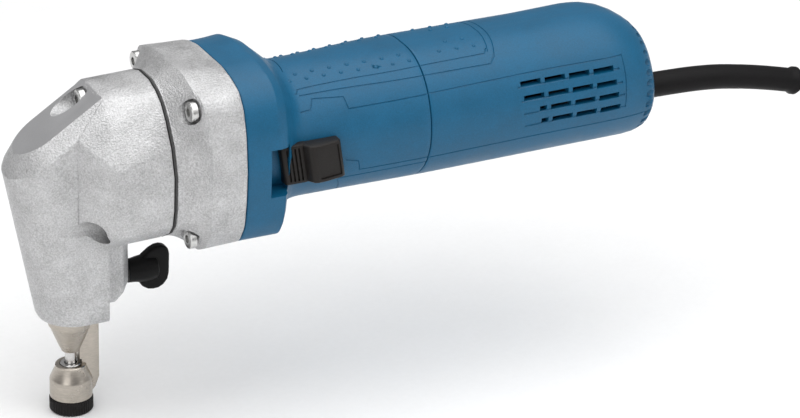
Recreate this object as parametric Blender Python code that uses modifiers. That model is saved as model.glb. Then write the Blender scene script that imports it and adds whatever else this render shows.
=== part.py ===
"""Mains-powered sheet-metal nibbler, modelled as the separate pieces it is assembled from.

Lengths below are in millimetres and are turned into metres by the helpers. In the design frame the
punch runs down the Z axis, Z = 0 is the underside of the die ring, +X points from the working head
to the cord, and the slide switch is on the -Y side. The root empty moves the tool so that its
origin is under the middle of its box.
"""

import math

import bmesh
import bpy
from mathutils import Matrix, Vector

MM = 0.001
GAP = 0.3  # clearance between pieces that touch

# Overall layout
ROOT_SHIFT = (-111.9, 0.0, 0.0)  # from the punch axis to the middle of the tool's box
MOTOR_Z = 105.6  # height of the motor axis, with the tool standing on its die
SEAM_X = 33.0  # rear face of the working head
FLANGE_X = 60.4  # rear face of the gear housing
COVER_X = 143.5  # joint between the handle and the rear cover
REAR_X = 249.0  # rear end of the cover

# Working head
NOSE_HALF = 15.7
NOSE_BACK = 11.0
NOSE_BOTTOM = 42.0
HOOD_AT_PUNCH = 129.0  # height of the sloping hood over the punch axis
HOOD_SLOPE = 0.63
HOOD_BEVEL = 4.4
RIDGE_X = 10.8  # where the hood meets the top of the barrel
CARRIER_R = 8.7

# Die and punch
PUNCH_R = 2.3
DIE_HOLE_R = 2.6
DIE_TOP = 20.4
STRIPPER_TIP = 26.0
DIE_RING_TOP = 6.0
STROKE = 6.5
THROW = STROKE / 2

# Drive
ROD_LENGTH = 24.0
PIN_R = 6.3
LAYSHAFT_DROP = 17.2
MOTOR_PINION_TEETH, LAYSHAFT_GEAR_TEETH = 9, 34
LAYSHAFT_PINION_TEETH, ECCENTRIC_GEAR_TEETH = 8, 26

# Motor
HANDLE_R = 28.4
COVER_FRONT_R = 29.0
COVER_REAR_R = 26.8
WALL = 2.6
STATOR_R = 21.8
ARMATURE_R = 13.0
STATOR_X = (97.0, 141.0)

# Switch slide, in its rear, off position
SLIDE_Z = 103.7
SLIDE_TRAVEL = 7.5

# Cord
SLEEVE_R = 5.3
CORD_R = 3.5
COIL_CENTRE = (427.0, -19.0)
COIL_MIDDLE_R = 41.5
COIL_TURNS_WIDE = 4
COIL_TURNS_HIGH = 4
PLUG_Z = 45.9
LEAD_BEND_R = 32.0

MATERIALS = {
    "cast_aluminium": ((0.60, 0.60, 0.61), 0.42, 0.85),
    "blue_plastic": ((0.03, 0.16, 0.31), 0.45, 0.0),
    "black_plastic": ((0.02, 0.02, 0.02), 0.5, 0.0),
    "black_rubber": ((0.015, 0.015, 0.015), 0.7, 0.0),
    "gasket_paper": ((0.05, 0.05, 0.05), 0.8, 0.0),
    "satin_steel": ((0.55, 0.52, 0.49), 0.3, 1.0),
    "black_oxide": ((0.03, 0.03, 0.03), 0.5, 0.8),
    "bright_steel": ((0.7, 0.7, 0.7), 0.25, 1.0),
    "bearing_bronze": ((0.55, 0.38, 0.18), 0.35, 1.0),
    "lamination": ((0.3, 0.3, 0.31), 0.5, 0.9),
    "copper": ((0.7, 0.32, 0.15), 0.35, 1.0),
    "carbon": ((0.06, 0.06, 0.06), 0.6, 0.1),
    "white_plastic": ((0.75, 0.74, 0.7), 0.5, 0.0),
}

for old in list(bpy.data.objects):
    bpy.data.objects.remove(old)

parts = bpy.data.collections.new("nibbler")
cutters = bpy.data.collections.new("cutters")
bpy.context.scene.collection.children.link(parts)
bpy.context.scene.collection.children.link(cutters)


# ---------------------------------------------------------------- helpers

def material(name):
    """The Principled material of this name, made on first use."""
    found = bpy.data.materials.get(name)
    if found:
        return found
    colour, roughness, metallic = MATERIALS[name]
    made = bpy.data.materials.new(name)
    made.use_nodes = True
    shader = made.node_tree.nodes["Principled BSDF"]
    shader.inputs["Base Color"].default_value = (*colour, 1)
    shader.inputs["Roughness"].default_value = roughness
    shader.inputs["Metallic"].default_value = metallic
    return made


def metres(point):
    return Vector(point) * MM


def add_object(name, data, finish, at=(0, 0, 0)):
    """Link a piece, or a hidden cutter when finish is None, with its origin at a point."""
    made = bpy.data.objects.new(name, data)
    made.location = metres(at)
    if finish is None:
        cutters.objects.link(made)
        made.hide_render = True
        made.display_type = "WIRE"
        return made
    parts.objects.link(made)
    data.materials.append(material(finish))
    return made


def mesh_object(name, bm, finish, at=(0, 0, 0)):
    bmesh.ops.recalc_face_normals(bm, faces=bm.faces)
    data = bpy.data.meshes.new(name)
    bm.to_mesh(data)
    bm.free()
    data.shade_smooth()
    data.set_sharp_from_angle(angle=math.radians(35))
    return add_object(name, data, finish, at)


def box(name, low, high, finish=None, at=(0, 0, 0)):
    """A box between two corners given in the design frame, with its origin at a point."""
    low, high, origin = Vector(low), Vector(high), Vector(at)
    bm = bmesh.new()
    bmesh.ops.create_cube(bm, size=1)
    bmesh.ops.scale(bm, vec=(high - low) * MM, verts=bm.verts)
    bmesh.ops.translate(bm, vec=((low + high) / 2 - origin) * MM, verts=bm.verts)
    return mesh_object(name, bm, finish, at)


TURN_TO = {
    "X": Matrix.Rotation(math.radians(90), 4, "Y"),
    "Y": Matrix.Rotation(math.radians(-90), 4, "X"),
    "Z": Matrix.Identity(4),
}


def cylinder(name, axis, start, end, radius, at, finish=None, end_radius=None, sides=24):
    """A cylinder or cone along an axis, from start to end along it, centred on at across it."""
    along = "XYZ".index(axis)
    origin = list(at)
    origin[along] = (start + end) / 2
    bm = bmesh.new()
    bmesh.ops.create_cone(
        bm, cap_ends=True, segments=sides, radius1=radius * MM,
        radius2=(radius if end_radius is None else end_radius) * MM, depth=(end - start) * MM,
    )
    bmesh.ops.transform(bm, matrix=TURN_TO[axis], verts=bm.verts)
    return mesh_object(name, bm, finish, origin)


def turned(name, axis, profile, at, finish=None, ring=False, sides=32):
    """A turned piece. The profile is (radius, distance along the axis) from high to low down its
    outside; a ring's profile closes on itself, any other starts and ends on the axis."""
    data = bpy.data.meshes.new(name)
    points = [(radius * MM, 0, height * MM) for radius, height in profile]
    edges = [(i, i + 1) for i in range(len(points) - 1)]
    if ring:
        edges.append((len(points) - 1, 0))
    data.from_pydata(points, edges, [])
    origin = list(at)
    origin["XYZ".index(axis)] = 0
    made = add_object(name, data, finish, origin)
    made.matrix_basis = Matrix.Translation(metres(origin)) @ TURN_TO[axis]
    screw = made.modifiers.new("turn", "SCREW")
    screw.steps = screw.render_steps = sides
    screw.use_merge_vertices = True
    screw.merge_threshold = 0.00001
    screw.use_smooth_shade = True
    return made


def tube_ring(name, axis, start, end, inner, outer, at, finish=None, sides=32):
    """A plain ring, such as a bearing or a bush."""
    profile = [(outer, end), (outer, start), (inner, start), (inner, end)]
    return turned(name, axis, profile, at, finish, ring=True, sides=sides)


def loft(name, rings, finish=None, at=(0, 0, 0)):
    """A closed body through rings of equal point counts."""
    bm = bmesh.new()
    loops = [[bm.verts.new((Vector(p) - Vector(at)) * MM) for p in ring] for ring in rings]
    for lower, upper in zip(loops, loops[1:]):
        for i in range(len(lower)):
            j = (i + 1) % len(lower)
            bm.faces.new((lower[i], lower[j], upper[j], upper[i]))
    bm.faces.new(loops[0])
    bm.faces.new(loops[-1])
    return mesh_object(name, bm, finish, at)


def hull(name, points, finish=None, at=(0, 0, 0)):
    """The convex body around some points."""
    bm = bmesh.new()
    for p in points:
        bm.verts.new((Vector(p) - Vector(at)) * MM)
    found = bmesh.ops.convex_hull(bm, input=bm.verts)
    inside = {e for e in found["geom_interior"] if isinstance(e, bmesh.types.BMVert)}
    bmesh.ops.delete(bm, geom=list(inside), context="VERTS")
    return mesh_object(name, bm, finish, at)


def prism(name, axis, outline, start, end, at, finish=None):
    """A flat outline, in the plane across the axis, extruded along it from start to end."""
    along = "XYZ".index(axis)
    across = [i for i in range(3) if i != along]

    def ring(height):
        points = []
        for u, v in outline:
            p = [0, 0, 0]
            p[along] = height
            p[across[0]] = at[across[0]] + u
            p[across[1]] = at[across[1]] + v
            points.append(p)
        return points

    return loft(name, [ring(start), ring(end)], finish, at)


def tube(name, points, radius, finish, resolution=2, cyclic=False):
    """A cable or wire through some points, as a curve with filled ends."""
    data = bpy.data.curves.new(name, "CURVE")
    data.dimensions = "3D"
    data.bevel_depth = radius * MM
    data.bevel_resolution = resolution
    data.use_fill_caps = not cyclic
    spline = data.splines.new("POLY")
    spline.points.add(len(points) - 1)
    for spot, p in zip(spline.points, points):
        spot.co = (*metres(p), 1)
    spline.use_cyclic_u = cyclic
    return add_object(name, data, finish)


def combine(target, operation, others):
    for other in others:
        change = target.modifiers.new(other.name, "BOOLEAN")
        change.operation = operation
        change.solver = "EXACT"
        change.object = other
    return target


def cut(target, *others):
    return combine(target, "DIFFERENCE", others)


def join(target, *others):
    return combine(target, "UNION", others)


def circle(radius, count, start=0.0, sweep=math.tau):
    """Points on an arc, without its last one when it is a full circle."""
    steps = count if sweep == math.tau else count - 1
    return [
        (radius * math.cos(start + sweep * i / steps), radius * math.sin(start + sweep * i / steps))
        for i in range(count)
    ]


def gear_outline(teeth, centre_distance, mates_with, first_tooth):
    """A gear's outline; the module follows from the pair's centre distance."""
    module = 2 * centre_distance / (teeth + mates_with)
    tip = module * (teeth / 2 + 0.8)
    root = module * (teeth / 2 - 1.15)
    pitch = math.tau / teeth
    points = []
    for i in range(teeth):
        centre = first_tooth + i * pitch
        for radius, offset in ((root, -0.32), (tip, -0.12), (tip, 0.12), (root, 0.32)):
            angle = centre + offset * pitch
            points.append((radius * math.cos(angle), radius * math.sin(angle)))
    return points


def smooth_route(knots, count):
    """Evenly spread points on the Catmull-Rom curve through the knots."""
    knots = [Vector(k) for k in knots]
    ends = [2 * knots[0] - knots[1], *knots, 2 * knots[-1] - knots[-2]]
    fine = []
    for a, b, c, d in zip(ends, ends[1:], ends[2:], ends[3:]):
        for i in range(20):
            t = i / 20
            fine.append(
                0.5 * (2 * b + (c - a) * t + (2 * a - 5 * b + 4 * c - d) * t * t
                       + (3 * b - a - 3 * c + d) * t ** 3)
            )
    fine.append(knots[-1])
    lengths = [0.0]
    for p, q in zip(fine, fine[1:]):
        lengths.append(lengths[-1] + (q - p).length)
    points = []
    j = 0
    for i in range(count):
        want = lengths[-1] * i / (count - 1)
        while j < len(fine) - 2 and lengths[j + 1] < want:
            j += 1
        span = (want - lengths[j]) / (lengths[j + 1] - lengths[j])
        points.append(fine[j].lerp(fine[j + 1], span))
    return points


def section(half, x):
    """A closed ring at x from the right half of a housing's outline about the motor axis."""
    full = [(-y, z) for y, z in half] + [(y, z) for y, z in reversed(half)]
    return [(x, y, MOTOR_Z + z) for y, z in full]


# Right halves of the housing's outline, from the top to the bottom
SEAM_HALF = [
    (5.0, 32.8), (11.5, 30.7), (16.5, 27.7), (21.5, 21.8), (27.0, 12.4),
    (30.1, 1.0), (29.6, -13.0), (27.9, -20.4), (24.8, -24.5), (15.4, -30.1),
]
SHOULDER_HALF = [
    (14.0, 37.0), (26.5, 33.0), (32.0, 31.0), (34.4, 26.0), (36.6, 13.0),
    (36.8, -2.0), (36.0, -15.0), (34.2, -24.5), (29.5, -31.5), (21.0, -35.8),
]
FLANGE_HALF = [
    (12.0, 36.4), (21.0, 34.7), (28.4, 32.0), (33.0, 25.8), (35.8, 15.0),
    (36.9, 1.5), (36.0, -12.0), (33.9, -23.5), (28.9, -31.3), (19.5, -35.8),
]
MOTOR_AXIS = (0, 0, MOTOR_Z)
LAYSHAFT_AXIS = (0, 0, MOTOR_Z - LAYSHAFT_DROP)
CRANK_PIN_AXIS = (0, 0, MOTOR_Z - THROW)
WRIST_Z = MOTOR_Z - THROW - ROD_LENGTH
HEAD_SCREWS = [(3.5, 131.0, 9.5), (-19.5, 84.4, 13.0), (19.5, 84.4, 13.0)]  # y, z, x under the head
HOUSING_SCREWS = [
    (y, MOTOR_Z + z) for y, z in ((-27.5, 26.5), (27.5, 26.5), (-25.5, -28.0), (25.5, -28.0))
]
PLUNGER_Z = 55.5


# ---------------------------------------------------------------- working head

def hood_height(x):
    return HOOD_AT_PUNCH + HOOD_SLOPE * x


def nose_outline(front, radius, back, half):
    """The nose in plan: a round front and straight sides; front is the foremost point."""
    arc = circle(radius, 13, math.pi / 2, math.pi)
    centre = front + radius
    points = [(centre + x, y * half / radius) for x, y in arc]
    return points + [(back, -half), (back, half)]


def make_nose():
    bottom, chamfer = NOSE_BOTTOM, NOSE_BOTTOM + 1.8
    base = nose_outline(-12.8, 14.0, NOSE_BACK, 15.0)
    base_inner = nose_outline(-11.2, 12.6, NOSE_BACK - 1.5, 13.4)
    top = nose_outline(-25.2, NOSE_HALF, NOSE_BACK, NOSE_HALF)
    top_half = NOSE_HALF - HOOD_BEVEL
    top_inner = nose_outline(-25.2 + HOOD_BEVEL, top_half, NOSE_BACK, top_half)
    return loft("nose", [
        [(x, y, bottom) for x, y in base_inner],
        [(x, y, chamfer) for x, y in base],
        [(x, y, hood_height(x) - HOOD_BEVEL) for x, y in top],
        [(x, y, hood_height(x)) for x, y in top_inner],
    ])


def make_head():
    front = [
        (-1.8, 15.7, 84.5), (-1.8, 15.7, 122.3), (9.7, 27.6, 84.1), (10.3, 28.6, 112.2),
        (RIDGE_X, 12.0, 135.7), (RIDGE_X, 5.0, 136.5), (9.0, 20.0, 77.3), (10.7, 15.7, 75.2),
    ]
    front += [(x, -y, z) for x, y, z in front]
    barrel = hull("barrel", front + section(SEAM_HALF, SEAM_X - GAP))
    boss_side = ((6.0, 47.2), (16.0, 47.2), (19.5, 50.6), (19.5, 80.0), (6.0, 80.0))
    boss_rear = ((23.2, 54.0), (23.2, 80.0))
    boss = hull("lock_boss", [(x, y, z) for y in (-8.5, 8.5) for x, z in boss_side]
                + [(x, y, z) for y in (-4.8, 4.8) for x, z in boss_rear])
    head = hull("head_casting", [(x, y, z) for x in (4, 20) for y in (-13, 13) for z in (80, 118)],
                "cast_aluminium")
    join(head, barrel, make_nose(), boss)
    cut(
        head,
        box("crank_space", (-6.2, -12.5, 64.0), (13.0, 12.5, MOTOR_Z + 14.0)),
        cylinder("carrier_bore", "Z", 40, 65, CARRIER_R + GAP, (0, 0, 0), sides=32),
        cylinder("front_bearing_bore", "X", 12, 26, 13.3, MOTOR_AXIS, sides=32),
        cylinder("rear_space", "X", 25, 34, 20.0, MOTOR_AXIS, sides=32),
        cylinder("layshaft_seat", "X", 20.5, 34, 3.3, LAYSHAFT_AXIS, sides=16),
        cylinder("plunger_bore", "X", 5, 25, 3.3, (0, 0, PLUNGER_Z), sides=16),
    )
    for number, (y, z, seat) in enumerate(HEAD_SCREWS, 1):
        cut(
            head,
            cylinder(f"head_recess_{number}", "X", -30, seat, 5.0, (0, y, z), sides=20),
            cylinder(f"head_hole_{number}", "X", seat - 1, 34, 2.4, (0, y, z), sides=16),
        )


def make_screw(name, y, z, seat, tip, shank=2.1):
    """A pan-head screw along X: head in front of the seat, shank behind it."""
    profile = [(0, tip), (shank, tip), (shank, seat), (4.0, seat), (4.0, seat - 2.2), (3.2, seat - 3.0),
               (0, seat - 3.0)]
    made = turned(name, "X", profile, (0, y, z), "bright_steel", sides=12)
    return cut(made, cylinder(f"{name}_socket", "X", seat - 4, seat - 1.2, 2.0, (0, y, z), sides=6))


def make_head_screws():
    for number, (y, z, seat) in enumerate(HEAD_SCREWS, 1):
        make_screw(f"head_screw_{number}", y, z, seat - 2 * GAP, 40.5)


# ---------------------------------------------------------------- gear housing

def make_gasket():
    faces = [section(SEAM_HALF, x) for x in (SEAM_X, SEAM_X + 0.6)]
    gasket = loft("head_gasket", faces, "gasket_paper")
    cut(gasket, cylinder("gasket_hole", "X", 32, 35, 20.0, MOTOR_AXIS, sides=32))
    cut(gasket, cylinder("gasket_layshaft", "X", 32, 35, 5.5, LAYSHAFT_AXIS, sides=16))
    for number, (y, z, _) in enumerate(HEAD_SCREWS, 1):
        cut(gasket, cylinder(f"gasket_bolt_{number}", "X", 32, 35, 2.6, (0, y, z), sides=12))


def make_gear_housing():
    shares = (1.0, 1.0, 0.9, 0.7, 0.5, 0.42, 0.42, 0.42, 0.42, 0.42)
    flare = [
        (y + share * (wide_y - y), z + share * (wide_z - z))
        for (y, z), (wide_y, wide_z), share in zip(SEAM_HALF, SHOULDER_HALF, shares)
    ]
    housing = loft("gear_housing", [
        section(SEAM_HALF, SEAM_X + 0.9), section(flare, 40.5), section(SHOULDER_HALF, 45.5),
        section(FLANGE_HALF, FLANGE_X),
    ], "cast_aluminium")
    cut(
        housing,
        cylinder("gear_space_front", "X", 30, 48, 19.5, MOTOR_AXIS, sides=32),
        cylinder("gear_space", "X", 47, 62, 30.0, MOTOR_AXIS, sides=40),
        cylinder("layshaft_passage", "X", 30, 48, 5.5, LAYSHAFT_AXIS, sides=16),
        cylinder("layshaft_space", "X", 50.5, 62, 15.2, LAYSHAFT_AXIS, sides=32),
    )
    for number, (y, z, _) in enumerate(HEAD_SCREWS, 1):
        cut(housing, cylinder(f"head_thread_{number}", "X", 30, 42, 2.4, (0, y, z), sides=12))
    for number, (y, z) in enumerate(HOUSING_SCREWS, 1):
        cut(
            housing,
            cylinder(f"housing_recess_{number}", "X", 20, 43, 5.0, (0, y, z), sides=20),
            cylinder(f"housing_hole_{number}", "X", 42, 62, 2.4, (0, y, z), sides=12),
        )
        make_screw(f"housing_screw_{number}", y, z, 43.0 - 2 * GAP, 73.5)


def make_bearing_plate():
    plate = turned("bearing_plate", "X", [
        (13.8, 72.3), (13.8, 66.0), (30.7, 66.0), (30.7, 61.0), (7.0, 61.0), (7.0, 64.6), (10.9, 64.6),
        (10.9, 72.3),
    ], MOTOR_AXIS, "cast_aluminium", ring=True, sides=28)
    cut(plate, cylinder("rear_layshaft_hole", "X", 60, 67, 3.3, LAYSHAFT_AXIS, sides=16))
    for number in range(4):
        angle = math.pi / 4 + number * math.pi / 2
        y, z = 22 * math.cos(angle), MOTOR_Z + 22 * math.sin(angle)
        cut(plate, cylinder(f"air_hole_{number}", "X", 60, 67, 4.5, (0, y, z), sides=12))


# ---------------------------------------------------------------- die and punch

def make_die_carrier():
    carrier = turned("die_carrier", "Z", [
        (0, 61.5), (CARRIER_R, 61.5), (CARRIER_R, 59.5), (7.5, 59.0), (7.5, 52.0), (CARRIER_R, 51.5),
        (CARRIER_R, 37.5), (4.9, 29.0), (3.6, STRIPPER_TIP), (0, STRIPPER_TIP),
    ], (0, 0, 0), "satin_steel", sides=24)
    seat = turned("die_seat", "Z", [
        (0, 19.0), (6.4, 19.0), (8.5, 13.5), (8.5, DIE_RING_TOP + GAP), (0, DIE_RING_TOP + GAP),
    ], (0, 0, 0), sides=24)
    side_view = [
        (3.6, 42.0), (2.9, 30.0), (2.9, 18.0), (5.5, 8.0), (7.9, 7.0), (11.3, 14.0), (11.3, 42.0),
    ]
    neck = prism("neck", "Y", side_view, -2.4, 2.4, (0, 0, 0))
    join(carrier, seat, neck)
    cut(
        carrier,
        cylinder("punch_way", "Z", 18, 36, DIE_HOLE_R, (0, 0, 0), sides=20),
        cylinder("die_pocket", "Z", 4, 22, 4.5, (0, 0, 0), sides=20),
        cylinder("ram_bore", "Z", 35, 65, 4.5, (0, 0, 0), sides=20),
    )


def make_die():
    turned("die", "Z", [
        (4.2, DIE_TOP), (4.2, 1.0), (3.0, 1.0), (3.0, 8.0), (DIE_HOLE_R, 10.0), (DIE_HOLE_R, DIE_TOP),
    ], (0, 0, 0), "bright_steel", ring=True, sides=20)
    turned("die_ring", "Z", [
        (8.75, DIE_RING_TOP), (8.75, 1.0), (8.0, 0.0), (4.5, 0.0), (4.5, DIE_RING_TOP),
    ], (0, 0, 0), "black_oxide", ring=True, sides=24)


def make_ram():
    """The ram with its fork, and the punch in its lower end, at bottom dead centre."""
    ram = cylinder("ram", "Z", 35.4, 65.6, 4.2, (0, 0, 0), "bright_steel", sides=20)
    fork = box("fork", (-5.3, -7.8, 64.6), (5.3, 7.8, WRIST_Z + 10.6))
    slot = box("fork_slot", (-3.3, -9.0, WRIST_Z - 11.0), (3.3, 9.0, WRIST_Z + 14.0))
    window = box("pin_window", (-7.0, -THROW - 2.5, WRIST_Z - 9.0), (7.0, THROW + 2.5, WRIST_Z + 9.0))
    join(ram, fork)
    cut(ram, slot, window, cylinder("punch_seat", "Z", 33, 40.0, PUNCH_R + 0.1, (0, 0, 0), sides=16))
    turned("punch", "Z", [
        (0, 39.6), (PUNCH_R - 0.2, 39.6), (PUNCH_R - 0.2, 34.0), (PUNCH_R, 33.5), (PUNCH_R, 19.4),
        (0, 19.4),
    ], (0, 0, 0), "bright_steel", sides=16)


def make_lock():
    """The plunger that seats in the carrier's groove, and the winged knob that turns on it."""
    plunger = cylinder("lock_plunger", "X", 7.9, 30.0, 3.0, (0, 0, PLUNGER_Z), "bright_steel", sides=16)
    at = (28.0, 0, PLUNGER_Z)
    knob = turned("wing_knob", "X", [
        (0, 36.5), (5.0, 36.5), (5.6, 32.0), (5.0, 27.5), (4.7, 24.0), (0, 24.0),
    ], at, "black_plastic", sides=20)
    wing_outline = [(29.0, 3.5), (34.0, 8.0), (38.0, 9.3), (41.5, 8.0), (42.0, 2.0), (41.6, -4.5),
                    (39.0, -8.0), (35.0, -9.3), (31.5, -8.5), (28.5, -4.0)]
    wing = prism("wing", "Y", [(x, z) for x, z in wing_outline], -2.2, 2.2, (0, 0, PLUNGER_Z))
    join(knob, wing)
    cut(knob, cylinder("knob_thread", "X", 23, 33.3, 3.3, (0, 0, PLUNGER_Z), sides=16))
    return knob, plunger


# ---------------------------------------------------------------- gear train

def make_crank():
    """Connecting rod and wrist pin, standing upright below the crank pin."""
    big_z = CRANK_PIN_AXIS[2]
    rod = tube_ring("connecting_rod", "X", -3.0, 3.0, 6.6, 8.6, CRANK_PIN_AXIS, "bright_steel", sides=28)
    shank = box("rod_shank", (-2.4, -2.6, WRIST_Z), (2.4, 2.6, big_z - 7.2))
    eye = cylinder("rod_eye", "X", -3.0, 3.0, 4.2, (0, 0, WRIST_Z), sides=20)
    join(rod, shank, eye)
    cut(rod, cylinder("wrist_bore", "X", -4, 4, 2.4, (0, 0, WRIST_Z), sides=16))
    pin = cylinder("wrist_pin", "X", -5.0, 5.0, 2.1, (0, 0, WRIST_Z), "bright_steel", sides=16)
    return rod, pin


def make_eccentric_shaft():
    """Shaft with the crank pin below its axis, its two ball bearings and the large gear."""
    shaft = turned("eccentric_shaft", "X", [
        (0, 45.5), (6.0, 45.5), (6.0, 8.6), (10.0, 8.4), (10.0, 5.8), (0, 5.8),
    ], MOTOR_AXIS, "bright_steel", sides=28)
    join(shaft, cylinder("crank_pin", "X", -3.2, 7.0, PIN_R, CRANK_PIN_AXIS, sides=24))
    space_down = -math.pi / 2 + math.pi / ECCENTRIC_GEAR_TEETH
    gear = prism("eccentric_gear", "X", gear_outline(
        ECCENTRIC_GEAR_TEETH, LAYSHAFT_DROP, LAYSHAFT_PINION_TEETH, space_down,
    ), 36.5, 44.0, MOTOR_AXIS, "bright_steel")
    cut(gear, cylinder("eccentric_gear_bore", "X", 36, 45, 6.2, MOTOR_AXIS, sides=24))
    for number, (start, end) in enumerate(((13.2, 18.2), (19.4, 24.4)), 1):
        tube_ring(f"eccentric_bearing_{number}", "X", start, end, 6.25, 13.0, MOTOR_AXIS, "bright_steel")
    return shaft, gear


def make_layshaft():
    shaft = cylinder("layshaft", "X", 21.0, 65.0, 3.0, LAYSHAFT_AXIS, "bright_steel", sides=16)
    pinion = prism("layshaft_pinion", "X", gear_outline(
        LAYSHAFT_PINION_TEETH, LAYSHAFT_DROP, ECCENTRIC_GEAR_TEETH, math.pi / 2,
    ), 35.5, 51.0, LAYSHAFT_AXIS)
    join(shaft, pinion)
    gear = prism("layshaft_gear", "X", gear_outline(
        LAYSHAFT_GEAR_TEETH, LAYSHAFT_DROP, MOTOR_PINION_TEETH, math.pi / 2,
    ), 52.5, 59.5, LAYSHAFT_AXIS, "bright_steel")
    cut(gear, cylinder("layshaft_gear_bore", "X", 52, 60, 3.2, LAYSHAFT_AXIS, sides=16))
    return shaft, gear


# ---------------------------------------------------------------- motor

def make_armature():
    shaft = turned("armature_shaft", "X", [
        (0, 180.0), (3.4, 180.0), (3.4, 165.5), (4.2, 165.0), (4.2, 64.0), (2.6, 63.5), (2.6, 51.5),
        (0, 51.5),
    ], MOTOR_AXIS, "bright_steel", sides=20)
    pinion = prism("motor_pinion", "X", gear_outline(
        MOTOR_PINION_TEETH, LAYSHAFT_DROP, LAYSHAFT_GEAR_TEETH, -math.pi / 2 + math.pi / MOTOR_PINION_TEETH,
    ), 52.0, 60.5, MOTOR_AXIS)
    join(shaft, pinion)
    core = tube_ring("armature_core", "X", *STATOR_X, 4.4, ARMATURE_R, MOTOR_AXIS, "lamination", sides=24)
    front = turned("armature_winding_front", "X", [
        (11.6, 96.7), (11.6, 92.0), (9.0, 89.5), (4.5, 89.5), (4.5, 96.7),
    ], MOTOR_AXIS, "copper", ring=True, sides=20)
    rear = turned("armature_winding_rear", "X", [
        (4.5, 148.5), (9.0, 148.5), (11.6, 146.0), (11.6, 141.3), (4.5, 141.3),
    ], MOTOR_AXIS, "copper", ring=True, sides=20)
    commutator = tube_ring("commutator", "X", 150.0, 163.5, 4.5, 9.0, MOTOR_AXIS, "copper", sides=24)
    fan = turned("cooling_fan", "X", [
        (4.5, 86.0), (7.0, 86.0), (8.0, 79.0), (21.0, 77.0), (21.0, 75.6), (4.5, 75.6),
    ], MOTOR_AXIS, "black_plastic", ring=True, sides=28)
    blades = []
    for number in range(9):
        angle = number * math.tau / 9
        blade = box(f"fan_blade_{number}", (76.5, 6.0, -0.8), (85.0, 20.8, 0.8))
        blade.matrix_basis = Matrix.Translation(metres(MOTOR_AXIS)) @ Matrix.Rotation(angle, 4, "X")
        blades.append(blade)
    join(fan, *blades)
    return shaft, core, front, rear, commutator, fan


def make_motor_bearings():
    tube_ring("motor_bearing_front", "X", 65.0, 71.5, 4.4, 10.6, MOTOR_AXIS, "bright_steel", sides=24)
    tube_ring("motor_bearing_rear", "X", 170.0, 176.0, 3.6, 9.2, MOTOR_AXIS, "bright_steel", sides=24)


def make_stator():
    core = tube_ring("stator_core", "X", *STATOR_X, ARMATURE_R + 0.6, STATOR_R, MOTOR_AXIS, "lamination")
    slots = []
    for side, sign in (("upper", 1), ("lower", -1)):
        coil = []
        for end, x in enumerate((STATOR_X[0] - 3.0, STATOR_X[1] + 3.0)):
            arc = circle(17.6, 9, math.radians(35), math.radians(110))
            arc = arc if end == 0 else arc[::-1]
            coil += [(x, y, MOTOR_Z + sign * z) for y, z in arc]
        tube(f"field_coil_{side}", coil, 2.1, "copper", cyclic=True)
        for angle in (35, 145):
            y = 17.6 * math.cos(math.radians(angle))
            at = (0, y, MOTOR_Z + sign * 17.6 * math.sin(math.radians(angle)))
            slots.append(cylinder(f"coil_slot_{side}_{angle}", "X", 90, 150, 2.6, at, sides=12))
    cut(core, *slots)


def make_brush_gear():
    for side, sign in (("upper", 1), ("lower", -1)):
        def span(low, high):
            return sorted((MOTOR_Z + sign * low, MOTOR_Z + sign * high))

        low, high = span(11.0, 22.6)
        holder = box(f"brush_holder_{side}", (150.5, -5.0, low), (163.0, 5.0, high), "bearing_bronze")
        inner_low, inner_high = span(9.0, 21.6)
        cut(holder, box(f"brush_way_{side}", (153.0, -2.9, inner_low), (160.5, 2.9, inner_high)))
        low, high = span(9.3, 17.0)
        box(f"carbon_brush_{side}", (153.3, -2.6, low), (160.2, 2.6, high), "carbon")
        coil = []
        for i in range(25):
            angle = i * math.tau / 6
            height = MOTOR_Z + sign * (17.7 + 0.125 * i)
            coil.append((156.7 + 1.9 * math.cos(angle), 1.9 * math.sin(angle), height))
        tube(f"brush_spring_{side}", coil, 0.25, "bright_steel", resolution=1)


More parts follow.
